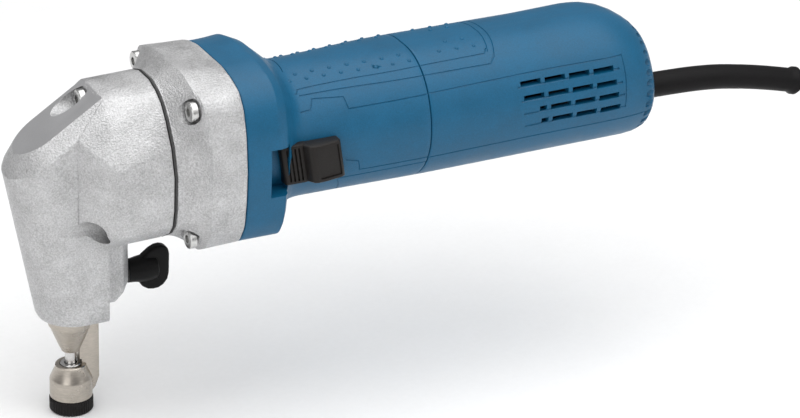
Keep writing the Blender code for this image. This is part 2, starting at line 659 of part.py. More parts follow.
def make_motor_housing():
    """The front half of the handle: flange, grip and the inner tube that the rear cover slides over."""
    grip = turned("motor_housing", "X", [
        (0, 182.0), (25.2, 182.0), (25.2, COVER_X - GAP), (HANDLE_R, COVER_X - GAP), (HANDLE_R, 76.0),
        (0, 76.0),
    ], MOTOR_AXIS, "blue_plastic", sides=40)

    def scaled(factor, x):
        return section([(y * factor, z * factor) for y, z in FLANGE_HALF], x)

    flange = loft("motor_flange", [
        scaled(1, FLANGE_X + GAP), scaled(1, 67.0), scaled(0.965, 72.0), scaled(0.91, 77.5),
        scaled(0.8, 79.5),
    ])
    join(grip, flange)
    channel = box("slide_channel", (69.5, -42, SLIDE_Z - 10.1), (79.8, -20, SLIDE_Z + 10.1))
    cut(channel, cylinder("channel_floor", "X", 68, 82, HANDLE_R, MOTOR_AXIS, sides=40))
    cut(
        grip,
        channel,
        cylinder("plate_recess", "X", 60, 66.3, 31.0, MOTOR_AXIS, sides=40),
        cylinder("fan_chamber", "X", 66, 92, 25.6, MOTOR_AXIS, sides=40),
        cylinder("motor_chamber", "X", 91, 180, 24.0, MOTOR_AXIS, sides=40),
        cylinder("rear_bearing_bore", "X", 168, 184, 7.0, MOTOR_AXIS, sides=24),
        box("slide_slot", (88.5 - SLIDE_TRAVEL, -32, SLIDE_Z - 2.8), (92.5, -22, SLIDE_Z + 2.8)),
        cylinder("cover_thread", "Z", 78, 84, 1.9, (172.0, 0, 0), sides=12),
        box("rod_notch", (178, -26, 101.6), (184, -21, 107.6)),
    )
    for number in range(6):
        angle = number * math.tau / 6
        y, z = 18.0 * math.cos(angle), MOTOR_Z + 18.0 * math.sin(angle)
        cut(grip, cylinder(f"rear_air_hole_{number}", "X", 178, 184, 3.6, (0, y, z), sides=12))
    for number, (y, z) in enumerate(HOUSING_SCREWS, 1):
        cut(grip, cylinder(f"housing_thread_{number}", "X", 60, 75.0, 2.4, (0, y, z), sides=12))
    baffle = tube_ring("air_baffle", "X", 87.5, 91.5, 17.0, 25.2, MOTOR_AXIS, "black_plastic", sides=32)
    cut(baffle, box("baffle_rod_notch", (86, -26, 99.0), (94, -20, 108.0)))


def make_rear_cover():
    cover = turned("rear_cover", "X", [
        (0, REAR_X), (20.0, REAR_X), (24.6, REAR_X - 2.6), (COVER_REAR_R, REAR_X - 8.0), (28.3, 228.0),
        (COVER_FRONT_R, 150.0), (COVER_FRONT_R, COVER_X), (0, COVER_X),
    ], MOTOR_AXIS, "blue_plastic", sides=40)
    inside = turned("cover_inside", "X", [
        (0, REAR_X - WALL), (21.5, REAR_X - WALL), (COVER_REAR_R - WALL, REAR_X - 9.0),
        (28.3 - WALL, 200.0),
        (COVER_FRONT_R - WALL, 150.0), (COVER_FRONT_R - WALL, COVER_X - 3), (0, COVER_X - 3),
    ], MOTOR_AXIS, sides=40)
    cut(cover, inside, cylinder("cord_hole", "X", 240, 252, SLEEVE_R + GAP, (0, 0, 94.8), sides=22))
    for row in range(4):
        for column in range(4):
            x = 186.1 + 2.2 * row + column * 11.3
            z = MOTOR_Z + 12.87 - row * 5.93
            slot = box(f"vent_{row}_{column}", (x, -40, z), (x + 8.2, 40, z + 2.4))
            cut(cover, slot)
    cut(cover, cylinder("cover_screw_hole", "Z", 70, 84, 1.9, (172.0, 0, 0), sides=12))
    screw = turned("cover_screw", "Z", [
        (0, 84.5), (1.6, 84.5), (1.6, 77.3), (0, 77.3),
    ], (172.0, 0, 0), "bright_steel", sides=12)
    return cover, screw


def make_switch():
    """The slide outside the handle, the rod along the motor and the switch behind it."""
    low, high = SLIDE_Z - 8.4, SLIDE_Z + 8.4
    slide = hull("switch_slide", [
        (x, y, z) for z in (low, high)
        for x, y in ((77.5, -24.0), (77.5, -31.0), (90.5, -31.5), (92.5, -24.0))
    ], "black_plastic", (90.0, -29.0, SLIDE_Z))
    block_plan = [
        (88.5, -24.0), (90.0, -33.5), (92.5, -35.2), (101.0, -34.6), (105.5, -31.0), (105.5, -24.0),
    ]
    block = hull("slide_block", [(x, y, z) for z in (low + 0.5, high - 0.5) for x, y in block_plan])
    join(slide, block)
    for number in range(5):
        x = 78.6 + number * 2.2
        cut(slide, box(f"grip_groove_{number}", (x, -36, low - 1), (x + 0.9, -30.3, high + 1)))
    cut(slide, cylinder("slide_seat", "X", 70, 112, HANDLE_R + GAP, MOTOR_AXIS, sides=40))
    stem = box("slide_stem", (88.5, -30.5, SLIDE_Z - 2.4), (92.2, -24.0, SLIDE_Z + 2.4))
    join(slide, stem)
    rod = box("switch_rod", (86.0, -23.3, 102.6), (196.5, -22.2, 106.6), "black_plastic",
              (90.0, -23.0, SLIDE_Z))
    box("switch_module", (197.5, -20.0, 92.0), (222.0, -6.0, 114.0), "black_plastic")
    return slide, rod


def make_rear_electrics():
    cylinder("capacitor", "X", 190.0, 212.0, 6.5, (0, 8.5, 118.0), "white_plastic", sides=20)
    clamp = box("cable_clamp", (231.0, -9.0, 86.5), (238.0, 9.0, 90.6), "black_plastic")
    cut(clamp, cylinder("clamp_groove", "X", 230, 239, 4.0, (0, 0, 93.0), sides=16))
    for number, y in enumerate((-6.8, 6.8), 1):
        turned(f"clamp_screw_{number}", "Z", [
            (0, 93.0), (2.4, 93.0), (2.4, 91.0), (1.2, 90.9), (1.2, 84.0), (0, 84.0),
        ], (234.5, y, 0), "bright_steel", sides=12)
        cut(clamp, cylinder(f"clamp_hole_{number}", "Z", 86, 92, 1.5, (234.5, y, 0), sides=12))


# ---------------------------------------------------------------- cord

SLEEVE_ROUTE = [
    (240.5, 0, 94.8), (250, 0, 94.8), (260, 0, 94.7), (270, 0, 94.5), (280, 0, 94.1), (290, 0, 93.2),
    (300, 0, 91.6), (310, 0, 89.6), (320, 0, 87.2), (330.5, 0, 84.4),
]
CORD_ROUTE = [
    (330.9, 0, 84.3), (341, 0, 81.2), (351, 0, 76.8), (361, 0.4, 70.5), (370, 1.4, 62.5),
    (379, 3.0, 53.5), (388, 5.0, 44.5), (398, 7.4, 36.4),
]


def cord_piece(name, route, radius, finish, count, resolution):
    return tube(name, smooth_route(route, count), radius, finish, resolution)


def make_cord():
    cord_piece("bend_sleeve", SLEEVE_ROUTE, SLEEVE_R, "black_rubber", 14, 3)
    cord_piece("power_cord", CORD_ROUTE, CORD_R, "black_rubber", 12, 2)
    spread = (COIL_TURNS_WIDE - 1) * CORD_R * 1.03 + CORD_R
    inner, outer = COIL_MIDDLE_R - spread, COIL_MIDDLE_R + spread
    height = 2 * CORD_R * COIL_TURNS_HIGH
    at = (*COIL_CENTRE, 0)
    turned("cord_coil", "Z", [
        (outer - 2, height), (outer, height - 2), (outer, 2), (outer - 2, 0.1),
        (inner + 2, 0.1), (inner, 2), (inner, height - 2), (inner + 2, height),
    ], at, "black_rubber", ring=True, sides=32)
    tie_x = COIL_CENTRE[0] - COIL_MIDDLE_R
    half, wide, top = spread + 3 * GAP, 4.0, height + GAP
    band = box("cord_tie", (tie_x - half - 1.2, COIL_CENTRE[1] - wide, top),
               (tie_x + half + 1.2, COIL_CENTRE[1] + wide, top + 1.2), "black_rubber")
    legs = [
        box(f"tie_leg_{side}", (tie_x + side * (half + 0.6) - 0.6, COIL_CENTRE[1] - wide, 3.0),
            (tie_x + side * (half + 0.6) + 0.6, COIL_CENTRE[1] + wide, top + 0.8))
        for side in (-1, 1)
    ]
    join(band, *legs)


def make_plug():
    """A two-pin moulded plug lying on the coil, and the lead that bends round to it."""
    spread = (COIL_TURNS_WIDE - 1) * CORD_R * 1.03
    bend_x = COIL_CENTRE[0] + COIL_MIDDLE_R + spread - LEAD_BEND_R
    low = 2 * CORD_R * COIL_TURNS_HIGH + CORD_R + 2 * GAP
    route = []
    for step in range(1, 10):
        share = step / 9
        angle = -math.pi / 2 * share
        rise = share * share * (3 - 2 * share)
        route.append((bend_x + LEAD_BEND_R * math.cos(angle), COIL_CENTRE[1] + LEAD_BEND_R * math.sin(angle),
                      low + (PLUG_Z - low) * rise))
    cord_piece("plug_lead", route, CORD_R, "black_rubber", 10, 2)
    face_x = route[-1][0] - 46.0
    axis = (0, route[-1][1], PLUG_Z)
    tail_x = route[-1][0] - 2 * GAP
    plug = turned("plug", "X", [
        (0, tail_x), (4.6, tail_x), (5.6, tail_x - 14), (11.0, tail_x - 20), (17.5, tail_x - 30),
        (17.5, face_x), (0, face_x),
    ], axis, "black_rubber", sides=28)
    pins = [
        cylinder(f"plug_pin_{n}", "X", face_x - 18.5, face_x + 2, 2.4, (0, axis[1], z), sides=12)
        for n, z in enumerate((PLUG_Z - 9.5, PLUG_Z + 9.5))
    ]
    join(plug, *pins)


# ---------------------------------------------------------------- assembly

def carry(empty, names):
    """Parent pieces to a joint's empty and leave them where they are."""
    for name in names:
        piece = bpy.data.objects[name]
        piece.parent = empty
        piece.matrix_parent_inverse = Matrix.Translation(-metres(JOINT_AT[empty.name]))


JOINT_AT = {
    "switch_slide_axis": (90.0, -29.0, SLIDE_Z),
    "carrier_axis": (0, 0, 30.0),
    "ram_axis": (0, 0, 60.0),
    "armature_axis": (120.0, 0, MOTOR_Z),
    "layshaft_axis": (50.0, 0, MOTOR_Z - LAYSHAFT_DROP),
    "eccentric_axis": (30.0, 0, MOTOR_Z),
    "crank_pin_axis": CRANK_PIN_AXIS,
    "plunger_axis": (15.0, 0, PLUNGER_Z),
    "knob_axis": (30.0, 0, PLUNGER_Z),
}
CARRIED = {
    "switch_slide_axis": ["switch_slide", "switch_rod"],
    "carrier_axis": ["die_carrier", "die", "die_ring"],
    "ram_axis": ["ram", "punch"],
    "armature_axis": [
        "armature_shaft", "armature_core", "armature_winding_front", "armature_winding_rear",
        "commutator", "cooling_fan",
    ],
    "layshaft_axis": ["layshaft", "layshaft_gear"],
    "eccentric_axis": ["eccentric_shaft", "eccentric_gear"],
    "crank_pin_axis": ["connecting_rod", "wrist_pin"],
    "plunger_axis": ["lock_plunger"],
    "knob_axis": ["wing_knob"],
}


def assemble():
    """Parent everything to the root, moving pieces by way of an empty on their joint's axis."""
    root = bpy.data.objects.new("nibbler_root", None)
    root.empty_display_size = 0.05
    root.location = metres(ROOT_SHIFT)
    parts.objects.link(root)
    moving = {name for names in CARRIED.values() for name in names}
    for piece in list(parts.objects) + list(cutters.objects):
        if piece is not root and piece.name not in moving:
            piece.parent = root
    for name, at in JOINT_AT.items():
        empty = bpy.data.objects.new(name, None)
        empty.empty_display_size = 0.02
        parts.objects.link(empty)
        empty.parent = root
        empty.location = metres(at)
        carry(empty, CARRIED[name])


make_head()
make_head_screws()
make_gasket()
make_gear_housing()
make_bearing_plate()
make_die_carrier()
make_die()
make_ram()
make_lock()
make_crank()
make_eccentric_shaft()
make_layshaft()
make_armature()
make_motor_bearings()
make_stator()
make_brush_gear()
make_motor_housing()
make_rear_cover()
make_switch()
make_rear_electrics()
make_cord()
make_plug()
assemble()
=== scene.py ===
"""Photoreal mains-powered nibbler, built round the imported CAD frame.

Shapes are written in millimetres in the tool's own layout: the punch runs down x = y = 0, z = 0 is
the underside of the die ring, +X points from the working head to the cord, and the slide switch is
on the -Y side. spot() turns such a point into the row frame.
"""

import math

import bmesh
import bpy
from mathutils import Matrix, Vector


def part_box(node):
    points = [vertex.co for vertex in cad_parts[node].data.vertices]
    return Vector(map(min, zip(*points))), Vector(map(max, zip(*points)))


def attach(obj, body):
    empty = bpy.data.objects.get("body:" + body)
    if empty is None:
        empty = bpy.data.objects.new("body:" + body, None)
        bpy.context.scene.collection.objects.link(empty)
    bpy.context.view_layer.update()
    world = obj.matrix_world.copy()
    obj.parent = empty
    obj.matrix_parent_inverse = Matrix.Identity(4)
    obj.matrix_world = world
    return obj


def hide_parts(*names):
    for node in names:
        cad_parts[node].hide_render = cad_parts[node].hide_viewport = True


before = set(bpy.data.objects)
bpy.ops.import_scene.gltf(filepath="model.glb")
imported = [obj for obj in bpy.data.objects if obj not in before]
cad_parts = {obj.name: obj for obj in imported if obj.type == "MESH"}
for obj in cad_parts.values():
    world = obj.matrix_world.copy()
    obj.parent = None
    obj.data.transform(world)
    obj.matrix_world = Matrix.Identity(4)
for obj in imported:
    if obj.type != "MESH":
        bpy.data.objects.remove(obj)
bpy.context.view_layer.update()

MM = 0.001
GAP = 0.3
TAU = math.tau


def low(node):
    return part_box(node)[0]


def high(node):
    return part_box(node)[1]


ring_low, ring_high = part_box("die_ring")
ORIGIN = Vector(((ring_low.x + ring_high.x) / 2, (ring_low.y + ring_high.y) / 2, ring_low.z))


def spot(point):
    """A point of the tool's own layout, in the row frame."""
    return Vector(point) * MM + ORIGIN


def back(value, axis):
    """A row-frame coordinate, as millimetres of the tool's own layout."""
    return (value - ORIGIN[axis]) / MM


commutator_low, commutator_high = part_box("commutator")
MOTOR_Z = back((commutator_low.z + commutator_high.z) / 2, 2)
SEAM_X = back(low("head_gasket").x, 0)
FLANGE_X = back(high("gear_housing").x, 0)
COVER_X = back(low("rear_cover").x, 0)
REAR_X = back(high("rear_cover").x, 0)
SLIDE_Z = back((low("switch_slide").z + high("switch_slide").z) / 2, 2)
PLUNGER_Z = back((low("lock_plunger").z + high("lock_plunger").z) / 2, 2)
MOTOR_AXIS = (0, 0, MOTOR_Z)
LAYSHAFT_AXIS = (0, 0, MOTOR_Z - 17.2)
HANDLE_R = 28.4
SLEEVE_R = 5.3
SCREW_CLEARANCE_R = 2.4
# y and z of each head screw, and the x that its head is let in to
HEAD_SCREWS = [(3.5, 131.0, 9.5), (-19.5, 84.4, 13.0), (19.5, 84.4, 13.0)]
HEAD_SCREW_TIP_X = 40.5
# y and z of each gear housing screw
HOUSING_SEAT_X, HOUSING_SCREW_TIP_X = 43.0, 70.0
HOUSING_SCREWS = [
    (-27.5, MOTOR_Z + 26.5), (27.5, MOTOR_Z + 26.5), (-25.5, MOTOR_Z - 28.0), (25.5, MOTOR_Z - 28.0)
]


# ---------------------------------------------------------------- camera and light

AZIMUTH, ELEVATION, ROLL = math.radians(-26.5), math.radians(25.0), math.radians(-1.1)
LENS, DISTANCE = 180.0, 1624.92
TARGET = (144.355, 0.0, 59.79)

scene = bpy.context.scene
camera = bpy.data.objects.new("camera", bpy.data.cameras.new("camera"))
scene.collection.objects.link(camera)
scene.camera = camera
camera.data.lens = LENS
camera.data.sensor_width = 36.0
camera.data.clip_start, camera.data.clip_end = 0.05, 100.0
backward = Vector((
    math.sin(AZIMUTH) * math.cos(ELEVATION), -math.cos(AZIMUTH) * math.cos(ELEVATION), math.sin(ELEVATION)
))
level = (-backward).cross(Vector((0, 0, 1))).normalized()
down = (-backward).cross(level)
right = math.cos(ROLL) * level + math.sin(ROLL) * down
down = -math.sin(ROLL) * level + math.cos(ROLL) * down
camera.matrix_world = Matrix.Translation(spot(TARGET) + backward * DISTANCE * MM) @ Matrix(
    (right, -down, backward)
).transposed().to_4x4()
scene.view_settings.view_transform = "Standard"


# ---------------------------------------------------------------- materials

def speck(nodes, links, coords, scale, detail=2.0, roughness=0.6):
    noise = nodes.new("ShaderNodeTexNoise")
    noise.inputs["Scale"].default_value = scale
    noise.inputs["Detail"].default_value = detail
    noise.inputs["Roughness"].default_value = roughness
    links.new(coords.outputs["Object"], noise.inputs["Vector"])
    return noise


def remap(nodes, links, source, ends, values):
    made = nodes.new("ShaderNodeMapRange")
    for name, value in zip(("From Min", "From Max", "To Min", "To Max"), (*ends, *values)):
        made.inputs[name].default_value = value
    links.new(source, made.inputs["Value"])
    return made.outputs["Result"]


def make_material(name, colour, roughness, metallic=0.0, grain=1500.0, bump=0.1, depth=0.0001, tone=0.12,
                  patch=60.0, spread=0.08, gloss=0.5, brushed=None):
    """Base colour with cloudy tone and fine speckle, uneven roughness and a fine raised grain."""
    made = bpy.data.materials.new(name)
    made.use_nodes = True
    nodes, links = made.node_tree.nodes, made.node_tree.links
    shader = nodes["Principled BSDF"]
    shader.inputs["Metallic"].default_value = metallic
    shader.inputs["Specular IOR Level"].default_value = gloss
    coords = nodes.new("ShaderNodeTexCoord")
    fine = speck(nodes, links, coords, grain)
    broad = speck(nodes, links, coords, patch, 3.0)
    if brushed:
        stretch = nodes.new("ShaderNodeMapping")
        stretch.inputs["Scale"].default_value = brushed
        links.new(coords.outputs["Object"], stretch.inputs["Vector"])
        links.new(stretch.outputs["Vector"], fine.inputs["Vector"])
    both = nodes.new("ShaderNodeMath")
    both.operation = "MULTIPLY_ADD"
    links.new(fine.outputs["Fac"], both.inputs[0])
    both.inputs[1].default_value = 0.6
    clouds = nodes.new("ShaderNodeMath")
    clouds.operation = "MULTIPLY"
    clouds.inputs[1].default_value = 0.4
    links.new(broad.outputs["Fac"], clouds.inputs[0])
    links.new(clouds.outputs["Value"], both.inputs[2])
    ramp = nodes.new("ShaderNodeValToRGB")
    ramp.color_ramp.elements[0].position = 0.36
    ramp.color_ramp.elements[1].position = 0.64
    ramp.color_ramp.elements[0].color = (*(c * (1 - tone) for c in colour), 1)
    ramp.color_ramp.elements[1].color = (*(min(1.0, c * (1 + tone)) for c in colour), 1)
    links.new(both.outputs["Value"], ramp.inputs["Fac"])
    links.new(ramp.outputs["Color"], shader.inputs["Base Color"])
    rough = remap(nodes, links, broad.outputs["Fac"], (0.3, 0.7),
                  (max(0.02, roughness - spread), min(1.0, roughness + spread)))
    links.new(rough, shader.inputs["Roughness"])
    relief = nodes.new("ShaderNodeBump")
    relief.inputs["Strength"].default_value = bump
    relief.inputs["Distance"].default_value = depth
    links.new(fine.outputs["Fac"], relief.inputs["Height"])
    links.new(relief.outputs["Normal"], shader.inputs["Normal"])
    return made


PAINT = {
    "cast_aluminium": make_material("sand_cast_aluminium", (0.52, 0.52, 0.525), 0.44, 0.7, 1500.0, 0.8,
                                    0.0005, 0.26, 90.0, 0.06),
    "hood_flat": make_material("machined_hood_flat", (0.50, 0.50, 0.51), 0.38, 0.7, 2400.0, 0.2, 0.0001,
                               0.05, 60.0, 0.05),
    "blue_plastic": make_material("blue_moulded_plastic", (0.004, 0.095, 0.195), 0.42, 0.0, 1900.0, 0.35,
                                  0.00015, 0.14, 70.0, 0.06, 0.35),
    "black_plastic": make_material("black_moulded_plastic", (0.006, 0.006, 0.0062), 0.4, 0.0, 2200.0, 0.3,
                                   0.0001, 0.25, 80.0, 0.08, 0.12),
    "slide_plastic": make_material("brown_black_plastic", (0.014, 0.012, 0.011), 0.38, 0.0, 2200.0, 0.3,
                                   0.0001, 0.25, 80.0, 0.08, 0.2),
    "black_rubber": make_material("black_rubber", (0.006, 0.0055, 0.006), 0.5, 0.0, 2600.0, 0.35, 0.0001,
                                  0.3, 90.0, 0.08, 0.15),
    "cord_sheath": make_material("cord_sheath", (0.008, 0.008, 0.0085), 0.46, 0.0, 2600.0, 0.3, 0.0001,
                                 0.3, 90.0, 0.08, 0.2),
    "gasket_paper": make_material("gasket_paper", (0.05, 0.05, 0.05), 0.8, 0.0, 3000.0, 0.4, 0.0001, 0.3),
    "satin_steel": make_material("satin_nickel_steel", (0.46, 0.42, 0.37), 0.30, 1.0, 1600.0, 0.2,
                                 0.0001, 0.12, 120.0, 0.06, brushed=(0.25, 0.25, 1.6)),
    "black_oxide": make_material("black_oxide_steel", (0.012, 0.011, 0.011), 0.4, 0.3, 2400.0, 0.3, 0.0001,
                                 0.3, 90.0, 0.1, 0.2),
    "bright_steel": make_material("ground_steel", (0.62, 0.61, 0.60), 0.22, 1.0, 2400.0, 0.12, 0.0001,
                                  0.08, 90.0, 0.06),
    "bearing_steel": make_material("bearing_steel", (0.58, 0.58, 0.58), 0.18, 1.0, 2800.0, 0.08, 0.0001,
                                   0.06, 90.0, 0.05),
    "zinc_screw": make_material("zinc_plated_steel", (0.58, 0.58, 0.57), 0.28, 1.0, 2400.0, 0.15, 0.0001,
                                0.12, 150.0, 0.08),
    "brush_brass": make_material("brush_brass", (0.62, 0.44, 0.18), 0.3, 1.0, 2200.0, 0.15, 0.0001, 0.1),
    "lamination": make_material("lamination_steel", (0.28, 0.28, 0.29), 0.45, 0.9, 1600.0, 0.4, 0.0002,
                                0.2, brushed=(6.0, 0.4, 0.4)),
    "copper": make_material("enamelled_copper", (0.62, 0.26, 0.10), 0.3, 1.0, 1500.0, 0.4, 0.0002, 0.15,
                            brushed=(0.3, 4.0, 4.0)),
    "carbon": make_material("brush_carbon", (0.045, 0.045, 0.048), 0.55, 0.1, 2600.0, 0.3, 0.0001, 0.25),
    "white_plastic": make_material("cream_plastic", (0.68, 0.66, 0.60), 0.45, 0.0, 2200.0, 0.2, 0.0001,
                                   0.06),
    "floor": make_material("pale_floor", (0.93, 0.93, 0.93), 0.9, 0.0, 400.0, 0.02, 0.0001, 0.01,
                           gloss=0.1),
}
# CAD nodes that show as they are, and the material of each
CARRIED_OVER = {
    "cast_aluminium": ("bearing_plate",),
    "gasket_paper": ("head_gasket",),
    "bright_steel": ("ram", "punch", "lock_plunger", "wrist_pin", "connecting_rod", "eccentric_shaft",
                     "eccentric_gear", "layshaft", "layshaft_gear", "armature_shaft", "brush_spring_upper",
                     "brush_spring_lower"),
    "bearing_steel": ("eccentric_bearing_1", "eccentric_bearing_2", "motor_bearing_front",
                      "motor_bearing_rear"),
    "lamination": ("armature_core", "stator_core"),
    "copper": ("armature_winding_front", "armature_winding_rear", "field_coil_upper", "field_coil_lower",
               "commutator"),
    "brush_brass": ("brush_holder_upper", "brush_holder_lower"),
    "carbon": ("carbon_brush_upper", "carbon_brush_lower"),
    "black_plastic": ("air_baffle", "switch_module", "switch_rod", "cable_clamp", "cooling_fan"),
    "white_plastic": ("capacitor",),
    "zinc_screw": ("clamp_screw_1", "clamp_screw_2"),
    "black_rubber": ("cord_tie",),
}
for paint, names in CARRIED_OVER.items():
    for node_name in names:
        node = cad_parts[node_name]
        node.data.materials.clear()
        node.data.materials.append(PAINT[paint])


# ---------------------------------------------------------------- shape helpers

def mesh_piece(name, points, faces):
    """An object from points of the tool's layout."""
    mesh = bpy.data.meshes.new(name)
    mesh.from_pydata([spot(p) for p in points], [], faces)
    shape = bmesh.new()
    shape.from_mesh(mesh)
    bmesh.ops.recalc_face_normals(shape, faces=shape.faces)
    shape.to_mesh(mesh)
    shape.free()
    made = bpy.data.objects.new(name, mesh)
    scene.collection.objects.link(made)
    return made


def bake(piece):
    """Turn a piece's modifiers into its mesh."""
    bpy.context.view_layer.update()
    evaluated = piece.evaluated_get(bpy.context.evaluated_depsgraph_get())
    mesh = bpy.data.meshes.new_from_object(evaluated)
    old = piece.data
    piece.modifiers.clear()
    piece.data = mesh
    bpy.data.meshes.remove(old)
    return piece


def combine(piece, tools, operation):
    """One exact Boolean for each tool, in order."""
    for tool in tools:
        step = piece.modifiers.new("combine", "BOOLEAN")
        step.operation = operation
        step.solver = "EXACT"
        step.object = tool
    bake(piece)
    for tool in tools:
        bpy.data.objects.remove(tool)
    return piece


def cut(piece, *tools):
    """Take the tools out of a piece and remove them."""
    return combine(piece, tools, "DIFFERENCE")


def join(piece, *tools):
    """Merge the tools into a piece."""
    return combine(piece, tools, "UNION")


def soften(piece, width, angle=25.0, segments=2):
    """Round the edges sharper than the angle."""
    step = piece.modifiers.new("edge", "BEVEL")
    step.width = width * MM
    step.segments = segments
    step.limit_method = "ANGLE"
    step.angle_limit = math.radians(angle)
    step.harden_normals = False
    return bake(piece)


def finish(piece, paint, body=None, sharp=30.0):
    """Give a piece its look and its body."""
    piece.data.materials.clear()
    piece.data.materials.append(PAINT[paint])
    for face in piece.data.polygons:
        face.use_smooth = True
        face.material_index = 0
    piece.data.set_sharp_from_angle(angle=math.radians(sharp))
    if body:
        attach(piece, body)
    return piece


def hull(name, points):
    """The smallest convex solid round some points, its flat faces kept whole."""
    shape = bmesh.new()
    for point in points:
        shape.verts.new(Vector(point))
    bmesh.ops.convex_hull(shape, input=shape.verts)
    loose = [v for v in shape.verts if not v.link_faces]
    bmesh.ops.delete(shape, geom=loose, context="VERTS")
    bmesh.ops.dissolve_limit(shape, angle_limit=math.radians(1.5), verts=shape.verts, edges=shape.edges)
    shape.verts.index_update()
    corners = [v.co.copy() for v in shape.verts]
    faces = [[v.index for v in f.verts] for f in shape.faces]
    shape.free()
    return mesh_piece(name, corners, faces)


def loft(name, rings):
    """A closed solid through rings of equal point counts."""
    count = len(rings[0])
    points = [p for ring in rings for p in ring]
    faces = [list(range(count))[::-1], [len(points) - count + i for i in range(count)]]
    for level_start in range(0, len(points) - count, count):
        for i in range(count):
            j = (i + 1) % count
            faces.append([level_start + i, level_start + j, level_start + count + j, level_start + count + i])
    return mesh_piece(name, points, faces)


AXES = {
    "X": lambda a, b, along: (along, a, b),
    "Y": lambda a, b, along: (b, along, a),
    "Z": lambda a, b, along: (a, b, along),
}


def lathe(name, axis, profile, centre=(0, 0, 0), sides=64, closed=False):
    """A turned piece: profile is (radius, position along the axis); closed makes a ring."""
    turn = AXES[axis]
    points, index = [], []
    for radius, along in profile:
        if radius == 0:
            index.append([len(points)] * sides)
            points.append(Vector(turn(0, 0, along)) + Vector(centre))
            continue
        index.append(list(range(len(points), len(points) + sides)))
        for i in range(sides):
            angle = TAU * i / sides
            points.append(Vector(turn(radius * math.cos(angle), radius * math.sin(angle), along))
                          + Vector(centre))
    faces = []
    pairs = list(zip(index, index[1:])) + ([(index[-1], index[0])] if closed else [])
    for first, second in pairs:
        for i in range(sides):
            j = (i + 1) % sides
            corners = [first[i], first[j], second[j], second[i]]
            face = list(dict.fromkeys(corners))
            if len(face) > 2:
                faces.append(face)
    return mesh_piece(name, points, faces)


def cylinder(axis, start, end, radius, centre=(0, 0, 0), sides=48):
    """A plain round bar, mostly used as a cutter."""
    profile = [(0, start), (radius, start), (radius, end), (0, end)]
    return lathe("tool", axis, profile, centre, sides)


def box(lowest, highest):
    """A block between two opposite corners."""
    (x0, y0, z0), (x1, y1, z1) = lowest, highest
    points = [(x, y, z) for x in (x0, x1) for y in (y0, y1) for z in (z0, z1)]
    faces = [(0, 1, 3, 2), (4, 6, 7, 5), (0, 4, 5, 1), (2, 3, 7, 6), (0, 2, 6, 4), (1, 5, 7, 3)]
    return mesh_piece("tool", points, faces)


def prism(name, outline, start, end, axis="Y"):
    """A straight bar along an axis; the outline is (x, z) for Y, (y, z) for X and (x, y) for Z."""
    place = {
        "X": lambda a, b, t: (t, a, b), "Y": lambda a, b, t: (a, t, b), "Z": lambda a, b, t: (a, b, t),
    }[axis]
    return loft(name, [[place(a, b, t) for a, b in outline] for t in (start, end)])


def smooth_route(knots, step):
    """Points about step apart on the Catmull-Rom curve through the knots."""
    knots = [Vector(k) for k in knots]
    ends = [2 * knots[0] - knots[1], *knots, 2 * knots[-1] - knots[-2]]
    points = []
    for a, b, c, d in zip(ends, ends[1:], ends[2:], ends[3:]):
        count = max(2, round((c - b).length / step))
        for i in range(count):
            t = i / count
            points.append(
                0.5 * (2 * b + (c - a) * t + (2 * a - 5 * b + 4 * c - d) * t * t
                       + (3 * b - a - 3 * c + d) * t ** 3)
            )
    points.append(knots[-1])
    return points


def tube(name, route, radius, sides=12, radii=None):
    """A closed tube along a route, carried without twisting; radii gives it a radius at each point."""
    route = [Vector(p) for p in route]
    radii = radii or [radius] * len(route)
    rings = []
    side = None
    for i, centre in enumerate(route):
        ahead = route[min(i + 1, len(route) - 1)] - route[max(i - 1, 0)]
        ahead.normalize()
        if side is None:
            side = ahead.orthogonal().normalized()
        side = (side - ahead * side.dot(ahead)).normalized()
        other = ahead.cross(side)
        rings.append([
            centre + radii[i] * (math.cos(TAU * j / sides) * side + math.sin(TAU * j / sides) * other)
            for j in range(sides)
        ])
    return loft(name, rings)


# ---------------------------------------------------------------- outlines of the housings

# (y, z) from the motor axis, from the top round the +Y side to the bottom
SEAM_HALF = [
    (5.0, 32.8), (11.5, 30.7), (16.5, 27.7), (21.5, 21.8), (27.0, 12.4),
    (30.1, 1.0), (29.6, -13.0), (27.9, -20.4), (24.8, -24.5), (15.4, -30.1),
]
SHOULDER_HALF = [
    (14.0, 37.0), (26.5, 33.0), (32.0, 31.0), (34.4, 26.0), (36.6, 13.0),
    (36.8, -2.0), (36.0, -15.0), (34.2, -24.5), (29.5, -31.5), (21.0, -35.8),
]
FLANGE_HALF = [
    (12.0, 36.4), (21.0, 34.7), (28.4, 32.0), (33.0, 25.8), (35.8, 15.0),
    (36.9, 1.5), (36.0, -12.0), (33.9, -23.5), (28.9, -31.3), (19.5, -35.8),
]
AROUND = 160


def section(half, x):
    """A half outline and its mirror image, as points at x."""
    full = [(-y, z) for y, z in half] + [(y, z) for y, z in reversed(half)]
    return [(x, y, MOTOR_Z + z) for y, z in full]


def polar(half, blur=1):
    """Radii of an outline about the motor axis at even angles, its corners eased by blur steps."""
    full = [(y, z) for y, z in half] + [(-y, z) for y, z in reversed(half)]
    radii = []
    for i in range(AROUND):
        angle = TAU * i / AROUND
        c, s = math.cos(angle), math.sin(angle)
        best = 0.0
        for (ay, az), (by, bz) in zip(full, full[1:] + full[:1]):
            ey, ez = by - ay, bz - az
            det = c * ez - s * ey
            if abs(det) < 1e-9:
                continue
            r = (ay * ez - az * ey) / det
            along = (s * ay - c * az) / det
            if r > 0 and -1e-6 <= along <= 1 + 1e-6:
                best = max(best, r)
        radii.append(best)
    for _ in range(blur):
        radii = [
            (radii[i - 1] + 2 * radii[i] + radii[(i + 1) % AROUND]) / 4 for i in range(AROUND)
        ]
    return radii


